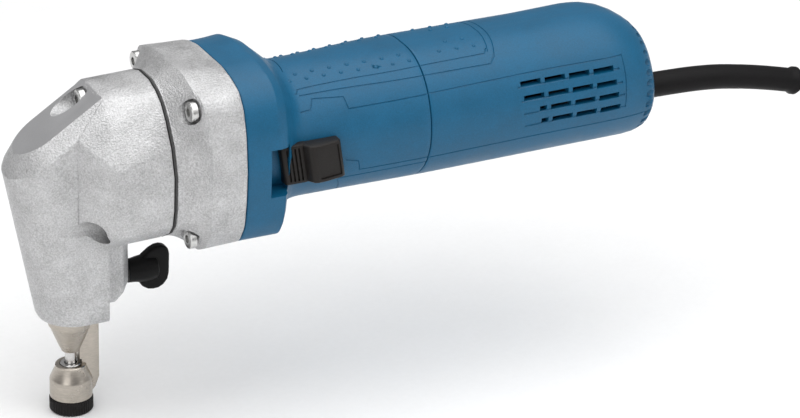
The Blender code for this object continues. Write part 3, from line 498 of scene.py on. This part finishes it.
def lathe_field(name, stations):
    """A solid along the motor axis from (x, list of radii at even angles)."""
    rings = []
    for x, radii in stations:
        rings.append([
            (x, r * math.cos(TAU * i / AROUND), MOTOR_Z + r * math.sin(TAU * i / AROUND))
            for i, r in enumerate(radii)
        ])
    return loft(name, rings)


def mix(a, b, share):
    """Radii part of the way from one list to another."""
    return [p + (q - p) * share for p, q in zip(a, b)]


def interpolate(table, x):
    """The value at x of a table of (x, value) rows, straight between rows."""
    for (x0, v0), (x1, v1) in zip(table, table[1:]):
        if x <= x1:
            return v0 + (v1 - v0) * max(0.0, (x - x0) / (x1 - x0))
    return table[-1][1]


def ease(t):
    """A smooth step from 0 to 1."""
    t = min(1.0, max(0.0, t))
    return t * t * (3 - 2 * t)


# ---------------------------------------------------------------- working head

# The flat on top of the nose: its height over the punch, and its rise along X
HOOD_AT_PUNCH, HOOD_SLOPE = 129.2, 0.64
NOSE_HALF, NOSE_BACK, NOSE_FRONT = 15.7, 11.0, -25.9
RIDGE_X = 10.8


def hood_height(x):
    """Height of the hood's sloping flat at x."""
    return HOOD_AT_PUNCH + HOOD_SLOPE * x


def nose_outline(front, radius, back_x, half, steps=28):
    """A rounded nose seen from above, from one side round the front to the other."""
    centre = front + radius
    arc = [(math.pi / 2 + math.pi * i / steps) for i in range(steps + 1)]
    points = [(centre + radius * math.cos(a), half * math.sin(a)) for a in arc]
    return points + [(back_x, -half), (back_x, half)]


def make_head():
    """The cast head: a nose round the punch, a faceted barrel behind it, and the boss of the lock."""
    levels = [
        ((-11.6, 12.2, 13.0), lambda x: 42.0), ((-12.8, 13.2, 14.2), lambda x: 42.6),
        ((-13.7, 14.0, 15.0), lambda x: 44.4),
        ((NOSE_FRONT, NOSE_HALF, NOSE_HALF), lambda x: hood_height(x) - 6.6),
        ((NOSE_FRONT + 0.3, NOSE_HALF - 0.3, NOSE_HALF - 0.3), lambda x: hood_height(x) - 5.8),
        ((NOSE_FRONT + 3.6, 11.9, 10.9), lambda x: hood_height(x) - 0.5),
        ((NOSE_FRONT + 4.2, 11.3, 10.3), hood_height),
    ]
    rings = []
    for (front_x, radius, half), height in levels:
        rings.append([(x, y, height(x)) for x, y in nose_outline(front_x, radius, NOSE_BACK, half)])
    nose = loft("nose", rings)
    front = [
        (-1.8, 15.7, 84.5), (-1.8, 15.7, 122.3), (9.7, 27.6, 84.1), (10.3, 28.6, 112.2),
        (RIDGE_X, 11.8, 135.6), (RIDGE_X, 5.0, 136.5), (9.0, 20.0, 77.3), (10.7, 15.7, 75.2),
    ]
    front += [(x, -y, z) for x, y, z in front]
    head = hull("head", front + section(SEAM_HALF, SEAM_X - GAP))
    soften(head, 0.7, 12.0, 2)
    boss_side = ((6.0, 47.2), (16.0, 47.2), (19.5, 50.6), (19.5, 80.0), (6.0, 80.0))
    boss_rear = ((23.2, 54.0), (23.2, 80.0))
    boss = hull("boss", [(x, y, z) for y in (-8.5, 8.5) for x, z in boss_side]
                + [(x, y, z) for y in (-4.8, 4.8) for x, z in boss_rear])
    soften(boss, 0.8, 15.0, 2)
    join(head, nose, boss)
    cut(
        head,
        box((-6.2, -12.5, 64.0), (13.0, 12.5, MOTOR_Z + 14.0)),
        cylinder("Z", 40, 65, 9.0),
        cylinder("X", 12, 26, 13.3, MOTOR_AXIS),
        cylinder("X", 25, 34, 20.0, MOTOR_AXIS),
        cylinder("X", 20.5, 34, 3.3, LAYSHAFT_AXIS),
        cylinder("X", 5, 25, 3.3, (0, 0, PLUNGER_Z)),
    )
    for y, z, seat in HEAD_SCREWS:
        cut(
            head,
            cylinder("X", -30, seat, 4.9, (0, y, z)),
            cylinder("X", seat - 1, 34, SCREW_CLEARANCE_R, (0, y, z), 24),
        )
    finish(head, "cast_aluminium", "frame", 20.0)
    head.data.materials.append(PAINT["hood_flat"])
    hood_normal = Vector((-HOOD_SLOPE, 0, 1)).normalized()
    for face in head.data.polygons:
        if face.normal.dot(hood_normal) > 0.999 and face.center.z > spot((0, 0, 108)).z:
            face.material_index = 1
    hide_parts("head_casting")


def make_screw(node, centre, seat, tip):
    """A socket-head machine screw along X, its head in front of the seat."""
    profile = [
        (0, tip), (1.7, tip), (2.1, tip - 0.6), (2.1, seat), (3.7, seat), (4.0, seat - 0.3),
        (4.0, seat - 2.5), (3.7, seat - 2.9), (3.2, seat - 3.0), (0, seat - 3.0),
    ]
    screw = lathe(f"{node}_piece", "X", profile, (0, *centre), 40)
    drive = cylinder("X", seat - 4, seat - 1.4, 1.9, (0, *centre), 6)
    cut(screw, drive)
    finish(screw, "zinc_screw", "frame", 30.0)
    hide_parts(node)


# ---------------------------------------------------------------- gear housing

def make_gear_housing():
    """The cast ring between head and handle, which widens from the head's seam to a flange."""
    seam, shoulder, flange = polar(SEAM_HALF), polar(SHOULDER_HALF), polar(FLANGE_HALF)
    start, top, end = SEAM_X + 0.9, 45.5, FLANGE_X
    stations = [(start, [r - 0.5 for r in seam]), (start + 0.25, [r - 0.12 for r in seam]),
                (start + 0.6, seam)]

    def flare(x):
        """Radii at x; the upper part reaches its full width sooner."""
        radii = []
        for i, (narrow, wide) in enumerate(zip(seam, shoulder)):
            angle = TAU * i / AROUND
            upper = ease((math.sin(angle) - 0.25) / 0.6)
            reach = top + (HOUSING_SEAT_X - top) * upper
            share = min(1.0, (x - start - 0.6) / (reach - start - 0.6))
            radii.append(narrow + (wide - narrow) * share ** (1.8 - 0.8 * upper))
        return radii

    stations += [(start + 0.6 + (top - start - 0.6) * i / 12, None) for i in range(1, 12)]
    stations = [(x, radii or flare(x)) for x, radii in stations]
    stations += [
        (top, shoulder), (top + 0.5, mix(shoulder, flange, 0.02)),
        (50.5, mix(shoulder, flange, 0.33)), (55.5, mix(shoulder, flange, 0.67)),
        (end - 0.6, flange), (end - 0.25, [r - 0.15 for r in flange]), (end, [r - 0.5 for r in flange]),
    ]
    housing = lathe_field("gear_case", stations)
    cut(
        housing,
        cylinder("X", 30, 48, 19.5, MOTOR_AXIS),
        cylinder("X", 47, 62, 30.0, MOTOR_AXIS),
        cylinder("X", 30, 48, 5.5, LAYSHAFT_AXIS),
        cylinder("X", 50.5, 62, 15.2, LAYSHAFT_AXIS),
    )
    for y, z, _ in HEAD_SCREWS:
        cut(housing, cylinder("X", 30, 42, SCREW_CLEARANCE_R, (0, y, z), 24))
    for y, z in HOUSING_SCREWS:
        cut(
            housing,
            cylinder("X", 20, HOUSING_SEAT_X, 5.0, (0, y, z)),
            cylinder("X", HOUSING_SEAT_X - 1, 62, SCREW_CLEARANCE_R, (0, y, z), 24),
        )
    finish(housing, "cast_aluminium", "frame", 20.0)
    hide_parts("gear_housing")


# ---------------------------------------------------------------- handle

# (x, radius) of the grip, then (x, share of it) where the rear end closes in
GRIP_R = [(60, 28.0), (90, 27.8), (110, 27.8), (143, 28.0), (249, 28.0)]
REAR_TOP = [
    (200, 1.0), (224, 1.022), (230, 1.0), (236, 0.945), (241, 0.86), (245, 0.765), (248, 0.65), (249, 0.57),
]
REAR_BOTTOM = [
    (150, 1.0), (190, 0.985), (238, 0.97), (243, 0.955), (246.5, 0.915), (248.4, 0.85), (249, 0.76),
]
# (x, share of the way from the grip out to the flange), above and below
FLARE_TOP = [
    (60, 0.94), (68, 0.96), (74.5, 1.0), (78.6, 0.83), (82.0, 0.5), (85.5, 0.14), (87.5, 0.04), (90.0, 0.0),
    (92, 0.0),
]
FLARE_BOTTOM = [
    (60, 1.0), (77.0, 1.0), (78.4, 0.82), (79.3, 0.55), (81.4, 0.3), (84.5, 0.12), (88.0, 0.03), (92, 0.0),
]
FLANGE_RADII = polar(FLANGE_HALF, 3)
GROOVE_R = 0.34
# Moulded panel lines, as (x, z) on either side
GRIP_LINES = [
    [(84.9, 126.4), (89.5, 127.1), (90.4, 128.2), (117.2, 129.2), (146, 129.8)],
    [(90.3, 126.4), (115.8, 126.8), (146, 126.9)],
    [(82.7, 121.0), (93.1, 121.7), (95.0, 125.0), (108, 124.2), (109, 120.1), (146, 120.9)],
    [(106.5, 100.0), (112.0, 98.5), (113.4, 93.8), (146, 94.2)],
    [(108.2, 82.4), (104.8, 90.7), (146, 91.7)],
]
COVER_LINES = [
    [(141, 129.7), (172.2, 130.0), (173.8, 131.2)],
    [(141, 126.9), (173.1, 126.9), (175.5, 128.9)],
    [(141, 120.9), (187, 122.0), (230.8, 122.4), (231.4, 113.9), (231.5, 101.5)],
    [(141, 93.8), (193.9, 95.0), (243.0, 95.6)],
]
# Vent rows: x of the first slot, and z
VENT_ROWS = ((183.8, 117.0), (184.8, 111.4), (185.8, 106.0), (186.8, 100.5))
VENT_COLUMNS, VENT_PITCH, VENT_LENGTH, VENT_HEIGHT = 4, 11.0, 9.2, 2.3


def handle_radius(angle, x):
    """The handle's slightly squared section; the angle runs from +Y to +Z."""
    squared = ease((x - 92) / 45)
    upper = max(0.0, math.sin(angle))
    corner = 1.9 * abs(math.sin(2 * angle)) ** 1.5 * upper
    radius = interpolate(GRIP_R, x) + squared * (corner + abs(math.cos(angle)) ** 3)
    share = ease((math.sin(angle) + 1) / 2)
    lower_end, upper_end = interpolate(REAR_BOTTOM, x), interpolate(REAR_TOP, x)
    return radius * (lower_end + (upper_end - lower_end) * share)


def field(x, shrink=0.0):
    """Handle radii at x, with the flange's flare worked in at the front."""
    radii = []
    for i in range(AROUND):
        angle = TAU * i / AROUND
        grip = handle_radius(angle, x)
        share = ease((math.sin(angle) + 0.25) / 0.9)
        low_flare, top_flare = interpolate(FLARE_BOTTOM, x), interpolate(FLARE_TOP, x)
        flare = low_flare + (top_flare - low_flare) * share
        radii.append(grip + (FLANGE_RADII[i] - grip) * flare - shrink)
    return radii


def surface_y(x, z, lift=0.0):
    """How far the handle's near side stands from the middle plane at x and z."""
    height = z - MOTOR_Z
    y = HANDLE_R
    for _ in range(6):
        r = handle_radius(math.atan2(height, y), x) + lift
        y = math.sqrt(max(0.0, r * r - height * height))
    return y


def groove(route, side, radius=GROOVE_R):
    """A tube lying in the handle's surface along (x, z) points."""
    points = []
    for (x0, z0), (x1, z1) in zip(route, route[1:]):
        count = max(1, round(math.hypot(x1 - x0, z1 - z0) / 1.5))
        points += [(x0 + (x1 - x0) * i / count, z0 + (z1 - z0) * i / count) for i in range(count)]
    points.append(route[-1])
    return tube("groove", [(x, side * surface_y(x, z), z) for x, z in points], radius, 6)


def over_top(x0, x1, reach):
    """A tube across the top of the handle from the near side round to the far side."""
    points = []
    for i in range(41):
        share = -1 + i / 20
        angle = math.pi / 2 + share * reach
        x = x0 + (x1 - x0) * (1 - share * share)
        r = handle_radius(angle, x)
        points.append((x, r * math.cos(angle), MOTOR_Z + r * math.sin(angle)))
    return tube("groove", points, GROOVE_R, 6)


def dimple(x, z, side):
    """A small dome standing in the handle's surface."""
    knob = lathe("dimple", "Z", [
        (0, 0.55), (0.35, 0.48), (0.65, 0.3), (0.85, 0.0), (0.85, -0.8), (0, -0.8),
    ], sides=12)
    normal = Vector((0, side * surface_y(x, z), z - MOTOR_Z)).normalized()
    turn = normal.to_track_quat("Z", "Y").to_matrix().to_4x4()
    place = spot((x, side * surface_y(x, z), z))
    knob.data.transform(Matrix.Translation(place) @ turn @ Matrix.Translation(-ORIGIN))
    return knob


def make_motor_housing():
    """The front half of the handle, with the flange, the slide's recess, panel lines and grip dimples."""
    xs = [61.3, 62.2, 64.5, 66.5, 67.3, 68.2, 69.2, 70.1, 71.1, 72.2, 73.3, 74.4, 75.4, 76.2, 77.0, 77.7,
          78.4, 78.9, 79.3, 80.3, 81.4, 82.5, 84.0, 85.0]
    xs += [85 + 58.2 * i / 24 for i in range(1, 24)]
    end = COVER_X - GAP
    stations = [(FLANGE_X + GAP, field(61.0, 0.6)), (FLANGE_X + GAP + 0.25, field(61.0, 0.15))]
    stations += [(x, field(x)) for x in xs if x < end - 0.6]
    stations += [(end - 0.5, field(end)), (end - 0.15, field(end, 0.15)), (end, field(end, 0.5))]
    grip = lathe_field("handle", stations)
    join(grip, cylinder("X", 76, 182, 25.2, MOTOR_AXIS, 96))
    channel = box((70.5, -42, SLIDE_Z - 10.1), (79.8, -20, SLIDE_Z + 10.1))
    cut(channel, cylinder("X", 68, 82, HANDLE_R, MOTOR_AXIS, 96))
    cut(
        grip,
        channel,
        cylinder("X", 60, 66.3, 31.0, MOTOR_AXIS),
        cylinder("X", 66, 92, 25.6, MOTOR_AXIS),
        cylinder("X", 91, 180, 24.0, MOTOR_AXIS),
        cylinder("X", 168, 184, 7.0, MOTOR_AXIS),
        box((81.0, -32, SLIDE_Z - 2.8), (92.5, -22, SLIDE_Z + 2.8)),
        cylinder("Z", 78, 84, 1.9, (172.0, 0, 0), 24),
        box((178, -26, 101.6), (184, -21, 107.6)),
    )
    for number in range(6):
        angle = number * TAU / 6
        cut(grip, cylinder("X", 178, 184, 3.6, (0, 18 * math.cos(angle), MOTOR_Z + 18 * math.sin(angle)), 24))
    for y, z in HOUSING_SCREWS:
        cut(grip, cylinder("X", 60, 75.0, SCREW_CLEARANCE_R, (0, y, z), 24))
    for side in (-1, 1):
        cut(grip, *[groove(line, side) for line in GRIP_LINES])
        dimples = [dimple(89.0 + 7.3 * i, 130.5 + 0.12 * i, side) for i in range(8)]
        dimples += [dimple(92.5 + 7.45 * i, 131.8 + 0.15 * i, side) for i in range(7)]
        join(grip, *dimples)
    cut(grip, over_top(84.5, 88.8, 0.70))
    finish(grip, "blue_plastic", "frame", 28.0)
    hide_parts("motor_housing")


def make_rear_cover():
    """The rear half of the handle: vents, panel lines, dimples and the notched rim at the cord."""
    start = COVER_X
    xs = [145, 148, 152, 156, 160, 165, 170, 176, 182, 188, 194, 200, 206, 212, 218, 222, 226, 230, 233, 236]
    xs += [238.5, 241, 243, 245, 246.5, 247.5, 248.3]
    stations = [(start, field(start, 0.5)), (start + 0.15, field(start, 0.15)), (start + 0.5, field(start))]
    stations += [(x, field(x)) for x in xs]
    stations.append((REAR_X, field(REAR_X)))
    cover = lathe_field("cover", stations)
    inside = lathe("tool", "X", [
        (0, 243.5), (15.5, 243.5), (22.5, 238.0), (25.0, 228.0), (25.7, 200.0), (26.0, 150.0),
        (26.0, COVER_X - 3), (0, COVER_X - 3),
    ], MOTOR_AXIS, 96)
    cut(cover, inside, cylinder("X", 240, 252, SLEEVE_R + GAP, (0, 0, 94.8)))
    for row, (first, z) in enumerate(VENT_ROWS):
        for column in range(VENT_COLUMNS):
            x = first + column * VENT_PITCH
            start_x = x + 6.0 if row > 1 and column == 0 else x
            slot = prism("slot", [
                (start_x, z), (x + VENT_LENGTH, z + 0.15), (x + VENT_LENGTH, z + VENT_HEIGHT + 0.15),
                (start_x, z + VENT_HEIGHT),
            ], -40, 40)
            cut(cover, slot)
        for side in (-1, 1):
            channel = [(first - 1.2, z + 0.1), (first + 45.0, z + 0.8)]
            cut(cover, groove(channel, side, 0.5))
    cut(cover, cylinder("Z", 70, 84, 1.9, (172.0, 0, 0), 24))
    for side in (-1, 1):
        cut(cover, *[groove(line, side) for line in COVER_LINES])
        spots = [(154.3, 132.2), (162.1, 132.2), (169.6, 132.1), (159.6, 133.4), (167.1, 133.4)]
        join(cover, *[dimple(x, z, side) for x, z in spots])
    cut(cover, over_top(173.8, 176.2, 0.58), over_top(175.5, 179.2, 0.68))
    for number in range(16):
        angle = math.radians(-75 + number * 10)
        reach = handle_radius(angle, 246.0) + 0.6
        for turned_angle in (angle, math.pi - angle):
            y, z = reach * math.cos(turned_angle), MOTOR_Z + reach * math.sin(turned_angle)
            cut(cover, cylinder("X", 242.5, 252, 1.5, (0, y, z), 16))
    finish(cover, "blue_plastic", "frame", 28.0)
    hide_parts("rear_cover")
    screw = lathe("cover_screw_piece", "Z", [
        (0, 84.5), (1.6, 84.5), (1.6, 77.3), (0, 77.3),
    ], (172.0, 0, 0), 32)
    cut(screw, box((170.2, -0.35, 76), (173.8, 0.35, 78.3)), box((171.65, -1.6, 76), (172.35, 1.6, 78.3)))
    finish(screw, "zinc_screw", "frame")
    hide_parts("cover_screw")


def make_slide():
    """The ribbed thumb slide over the handle."""
    lowest, highest = SLIDE_Z - 8.2, SLIDE_Z + 8.2
    front_plan = [(77.5, -25.0), (77.5, -31.0), (78.4, -31.8), (85.5, -31.9), (88.5, -31.5), (90.0, -25.0)]
    slide = prism("slide", front_plan, lowest, highest, "Z")
    block_plan = [(85.6, -25.0), (87.0, -32.0), (88.6, -34.6), (90.2, -35.2), (94.0, -34.9), (101.6, -33.3),
                  (102.8, -32.4), (103.2, -31.0), (103.2, -25.0)]
    block = prism("block", block_plan, lowest + 0.2, highest - 0.2, "Z")
    soften(slide, 0.6, 25.0, 2)
    soften(block, 0.7, 20.0, 3)
    join(slide, block)
    for number in range(4):
        x = 79.6 + number * 1.7
        cut(slide, box((x, -36, lowest + 1.2), (x + 0.8, -30.9, highest - 1.2)))
    cut(slide, prism("panel", [
        (91.5, -36.0), (91.5, -34.5), (101.3, -32.75), (102.0, -36.0),
    ], lowest + 1.6, highest - 1.6, "Z"))
    for vertex in slide.data.vertices:
        vertex.co.x -= 0.15 * (vertex.co.z - spot((0, 0, (lowest + highest) / 2)).z)
    cut(slide, cylinder("X", 70, 112, HANDLE_R + 0.6, MOTOR_AXIS, 128))
    stem = box((88.5, -30.5, SLIDE_Z - 2.4), (92.2, -24.0, SLIDE_Z + 2.4))
    join(slide, stem)
    finish(slide, "slide_plastic", "switch", 28.0)
    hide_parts("switch_slide")


# ---------------------------------------------------------------- die, punch and lock

def make_die_carrier():
    """The turning carrier with its neck, and the die and knurled ring that it holds."""
    carrier = lathe("carrier", "Z", [
        (0, 61.5), (8.4, 61.5), (8.7, 61.2), (8.7, 59.5), (7.5, 59.0), (7.5, 52.0), (8.7, 51.5),
        (8.7, 38.0), (8.5, 37.4), (8.0, 36.6), (5.0, 29.2), (4.2, 27.4), (3.6, 26.0), (0, 26.0),
    ], sides=96)
    seat = lathe("seat", "Z", [
        (0, 20.0), (5.9, 20.0), (6.2, 19.7), (6.3, 18.6), (8.2, 14.4), (8.5, 13.5), (8.5, 6.3), (0, 6.3),
    ], sides=96)
    side_view = [(3.6, 40.0), (2.9, 30.0), (2.9, 18.0), (5.5, 8.0), (7.9, 6.6), (9.6, 8.6), (11.3, 13.0),
                 (11.4, 36.0), (10.9, 40.0)]
    neck = prism("neck", side_view, -2.4, 2.4)
    soften(neck, 0.5, 25.0, 2)
    join(carrier, seat, neck)
    cut(
        carrier,
        cylinder("Z", 18, 36, 2.6),
        cylinder("Z", 4, 22, 4.5),
        cylinder("Z", 35, 65, 4.5),
    )
    finish(carrier, "satin_steel", "carrier", 28.0)
    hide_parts("die_carrier")
    die = lathe("die_piece", "Z", [
        (4.0, 20.4), (4.2, 20.1), (4.2, 1.0), (3.0, 1.0), (3.0, 8.0), (2.6, 10.0), (2.6, 20.4),
    ], sides=64, closed=True)
    finish(die, "bright_steel", "carrier")
    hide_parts("die")
    ribs = 48
    outline = [8.75 if i % 4 < 2 else 8.5 for i in range(ribs * 4)]
    rings = []
    for z, shrink in ((0.0, 0.7), (0.8, 0.0), (5.4, 0.0), (5.9, 0.5)):
        rings.append([
            ((r - shrink) * math.cos(TAU * (i + 0.5) / len(outline)),
             (r - shrink) * math.sin(TAU * (i + 0.5) / len(outline)), z)
            for i, r in enumerate(outline)
        ])
    ring = loft("ring", rings)
    cut(ring, cylinder("Z", -1, 7, 4.5))
    finish(ring, "black_oxide", "carrier", 40.0)
    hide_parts("die_ring")


def make_knob():
    """The wing knob that locks the carrier."""
    knob = lathe("knob", "X", [
        (0, 36.5), (4.6, 36.5), (5.0, 36.1), (5.6, 32.0), (5.2, 28.5), (4.9, 27.0), (4.7, 24.3), (4.4, 24.0),
        (0, 24.0),
    ], (0, 0, PLUNGER_Z), 64)
    wing_outline = [(29.0, 3.5), (31.0, 5.8), (34.0, 8.0), (36.2, 9.0), (38.4, 9.2), (40.4, 8.6), (41.6, 7.2),
                    (42.0, 5.0), (41.9, 1.0), (41.8, -3.0), (41.2, -5.8), (39.4, -8.0), (37.2, -9.1),
                    (35.0, -9.2), (32.8, -8.8), (30.6, -7.4), (28.5, -4.0)]
    wing = prism("wing", [(x, PLUNGER_Z + z) for x, z in wing_outline], -2.2, 2.2)
    soften(wing, 1.0, 30.0, 3)
    join(knob, wing)
    cut(knob, cylinder("X", 23, 33.3, 3.3, (0, 0, PLUNGER_Z)))
    finish(knob, "black_plastic", "knob", 35.0)
    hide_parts("wing_knob")


# ---------------------------------------------------------------- cord

CORD_R, CORD_SKIN = 3.5, 0.02
COIL_CENTRE = (427.0, -19.0)
COIL_MIDDLE_R = 41.5
RING_PITCH, LAYER_PITCH, LOWEST_LAYER_Z = 7.2, 7.0, 3.6
SLEEVE_ROUTE = [
    (240.5, 0, 94.8), (250, 0, 94.8), (260, 0, 94.7), (270, 0, 94.5), (280, 0, 94.1), (290, 0, 93.2),
    (300, 0, 91.6), (310, 0, 89.6), (320, 0, 87.2), (330.5, 0, 84.4),
]
SLEEVE_LIP = 4.5
CORD_START = [
    (331.5, 0, 84.0), (341, 0, 81.2), (351, 0, 76.8), (361, 0.4, 70.5), (370, 1.4, 62.5), (379, 3.0, 53.5),
    (388, 5.0, 44.5), (398, 7.4, 36.4), (408, 9.6, 30.2), (418, 11.0, 26.2),
]
RINGS, LAYERS = 4, 4
# Layer and ring of each turn
COIL_SLOTS = [
    (layer if ring % 2 else LAYERS - 1 - layer, ring) for ring in range(RINGS) for layer in range(LAYERS)
]
COIL_TURNS = 15.25
STEP_OVER = 0.15  # the part of a turn in which the cord moves to the next slot
LAST_CLIMB, LAST_CLIMB_TURN = 7.6, 0.14
LEAD_BEND_R, PLUG_AXIS_Z = 32.0, 45.9
PLUG_LENGTH, PIN_OFFSET = 46.0, 9.5


def coil_points():
    """The cord's turns, ring by ring from the inner one out, a layer up or down once a turn."""
    points, steps = [], 48
    for index in range(int(COIL_TURNS * steps) + 1):
        turns = index / steps
        turn = min(int(turns), len(COIL_SLOTS) - 1)
        layer, ring = COIL_SLOTS[turn]
        if turn + 1 < len(COIL_SLOTS):
            next_layer, next_ring = COIL_SLOTS[turn + 1]
            step = ease((turns - turn - 1 + STEP_OVER) / STEP_OVER)
            layer, ring = layer + (next_layer - layer) * step, ring + (next_ring - ring) * step
        radius = COIL_MIDDLE_R + (ring - (RINGS - 1) / 2) * RING_PITCH
        angle = math.pi / 2 - TAU * turns
        climb = LAST_CLIMB * ease((turns - COIL_TURNS + LAST_CLIMB_TURN) / LAST_CLIMB_TURN)
        points.append((COIL_CENTRE[0] + radius * math.cos(angle), COIL_CENTRE[1] + radius * math.sin(angle),
                       LOWEST_LAYER_Z + LAYER_PITCH * layer + climb))
    return points


def cord_points():
    """The whole cord, from the sleeve down to the coil, round it, and up to the plug on top."""
    coil = [Vector(q) for q in coil_points()]
    drop = smooth_route([*CORD_START, coil[0], coil[2]], 2.5)
    drop = drop[:drop.index(min(drop, key=lambda q: (q - coil[0]).length))]
    end, lead = coil[-1], []
    for step in range(1, 25):
        share = step / 24
        angle = -math.pi / 2 * share
        lead.append(end + Vector((LEAD_BEND_R * (math.cos(angle) - 1), LEAD_BEND_R * math.sin(angle),
                                  (PLUG_AXIS_Z - end.z) * ease(share))))
    return drop + coil + lead


def make_plug(tail):
    """A moulded two-pin plug whose lead ends at tail, and its pins."""
    tail_x, face_x = tail.x - 2 * GAP, tail.x - PLUG_LENGTH
    plug = lathe("plug_body", "X", [
        (0, tail_x), (4.3, tail_x), (4.6, tail_x - 0.4), (4.9, tail_x - 5), (5.6, tail_x - 14),
        (8.0, tail_x - 16.6), (11.0, tail_x - 20), (14.6, tail_x - 25.4), (16.8, tail_x - 28.6),
        (17.4, tail_x - 30.4), (17.5, tail_x - 32), (17.5, face_x + 0.8), (16.8, face_x), (0, face_x),
    ], (0, tail.y, tail.z), 72)
    pins = []
    for height in (-PIN_OFFSET, PIN_OFFSET):
        place = (0, tail.y, tail.z + height)
        cut(plug, cylinder("X", face_x - 1, face_x + 3.0, 2.45, place, 32))
        pins.append(lathe("pin", "X", [
            (0, face_x - 18.5), (1.5, face_x - 18.5), (2.2, face_x - 17.4), (2.4, face_x - 16.0),
            (2.4, face_x + 2.9), (0, face_x + 2.9),
        ], place, 32))
    finish(plug, "black_rubber", "frame", 40.0)
    for number, pin in enumerate(pins, 1):
        pin.name = f"plug_pin_{number}"
        finish(pin, "bright_steel", "frame", 30.0)
    for piece in (plug, *pins):
        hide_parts("plug")
    return plug, pins


def make_cord():
    """One free cord of its real length, with its plug."""
    route = cord_points()
    data = bpy.data.curves.new("cord_line", "CURVE")
    data.dimensions = "3D"
    data.bevel_depth = (CORD_R - CORD_SKIN) * MM
    data.bevel_resolution = 4
    data.use_fill_caps = True
    line = data.splines.new("POLY")
    line.points.add(len(route) - 1)
    for point, place in zip(line.points, route):
        point.co = (*spot(place), 1)
    cord = bpy.data.objects.new("mains_cord", data)
    scene.collection.objects.link(cord)
    data.materials.append(PAINT["cord_sheath"])
    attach(cord, "frame")
    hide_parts("power_cord", "cord_coil", "plug_lead")
    plug, pins = make_plug(route[-1])


def make_sleeve():
    """The bend sleeve: it thins a little along its length and ends in a rounded lip."""
    route = smooth_route(SLEEVE_ROUTE, 1.5)
    travelled = [0.0]
    for a, b in zip(route, route[1:]):
        travelled.append(travelled[-1] + (b - a).length)
    total = travelled[-1]
    radii = []
    for s in travelled:
        left = total - s
        radius = SLEEVE_R - 0.2 * ease((s - 20) / 60)
        if left < SLEEVE_LIP:
            radius = 4.9 + 1.1 * math.sin(math.pi * min(1.0, max(0.0, left / SLEEVE_LIP))) ** 0.6
        radii.append(radius)
    sleeve = tube("sleeve", route, SLEEVE_R, 48, radii)
    finish(sleeve, "black_rubber", "frame", 40.0)
    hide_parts("bend_sleeve")


# ---------------------------------------------------------------- surroundings

def make_stage():
    """A pale floor, a soft grey-to-white sky and three square lamps."""
    bpy.ops.mesh.primitive_plane_add(size=30, location=spot((150, 0, 0)))
    floor = bpy.context.object
    floor.name = "floor"
    floor.data.materials.append(PAINT["floor"])
    world = bpy.data.worlds.new("studio")
    scene.world = world
    world.use_nodes = True
    nodes, links = world.node_tree.nodes, world.node_tree.links
    backdrop = nodes["Background"]
    coords = nodes.new("ShaderNodeTexCoord")
    split = nodes.new("ShaderNodeSeparateXYZ")
    links.new(coords.outputs["Generated"], split.inputs["Vector"])
    ramp = nodes.new("ShaderNodeValToRGB")
    ramp.color_ramp.elements[0].position = 0.0
    ramp.color_ramp.elements[0].color = (0.55, 0.55, 0.56, 1)
    ramp.color_ramp.elements[1].position = 0.8
    ramp.color_ramp.elements[1].color = (1.0, 1.0, 1.0, 1)
    links.new(split.outputs["Z"], ramp.inputs["Fac"])
    links.new(ramp.outputs["Color"], backdrop.inputs["Color"])
    backdrop.inputs["Strength"].default_value = 0.42
    lamps = (
        ("overhead", (150, -100, 1000), (100, 0, 0), 1.5, 13.0),
        ("front_left", (-900, -900, 600), (60, 0, 80), 0.9, 4.0),
        ("right", (900, -900, 700), (150, 0, 80), 0.9, 3.0),
    )
    for name, place, aim, size, power in lamps:
        data = bpy.data.lights.new(name, "AREA")
        data.shape = "SQUARE"
        data.size = size
        data.energy = power
        lamp = bpy.data.objects.new(name, data)
        scene.collection.objects.link(lamp)
        lamp.location = spot(place)
        lamp.rotation_euler = (spot(aim) - spot(place)).to_track_quat("-Z", "Y").to_euler()


make_head()
for number, (y, z, seat) in enumerate(HEAD_SCREWS, 1):
    make_screw(f"head_screw_{number}", (y, z), seat - 2 * GAP, HEAD_SCREW_TIP_X)
make_gear_housing()
for number, (y, z) in enumerate(HOUSING_SCREWS, 1):
    make_screw(f"housing_screw_{number}", (y, z), HOUSING_SEAT_X - 2 * GAP, HOUSING_SCREW_TIP_X)
make_motor_housing()
make_rear_cover()
make_slide()
make_die_carrier()
make_knob()
make_sleeve()
make_cord()
make_stage()
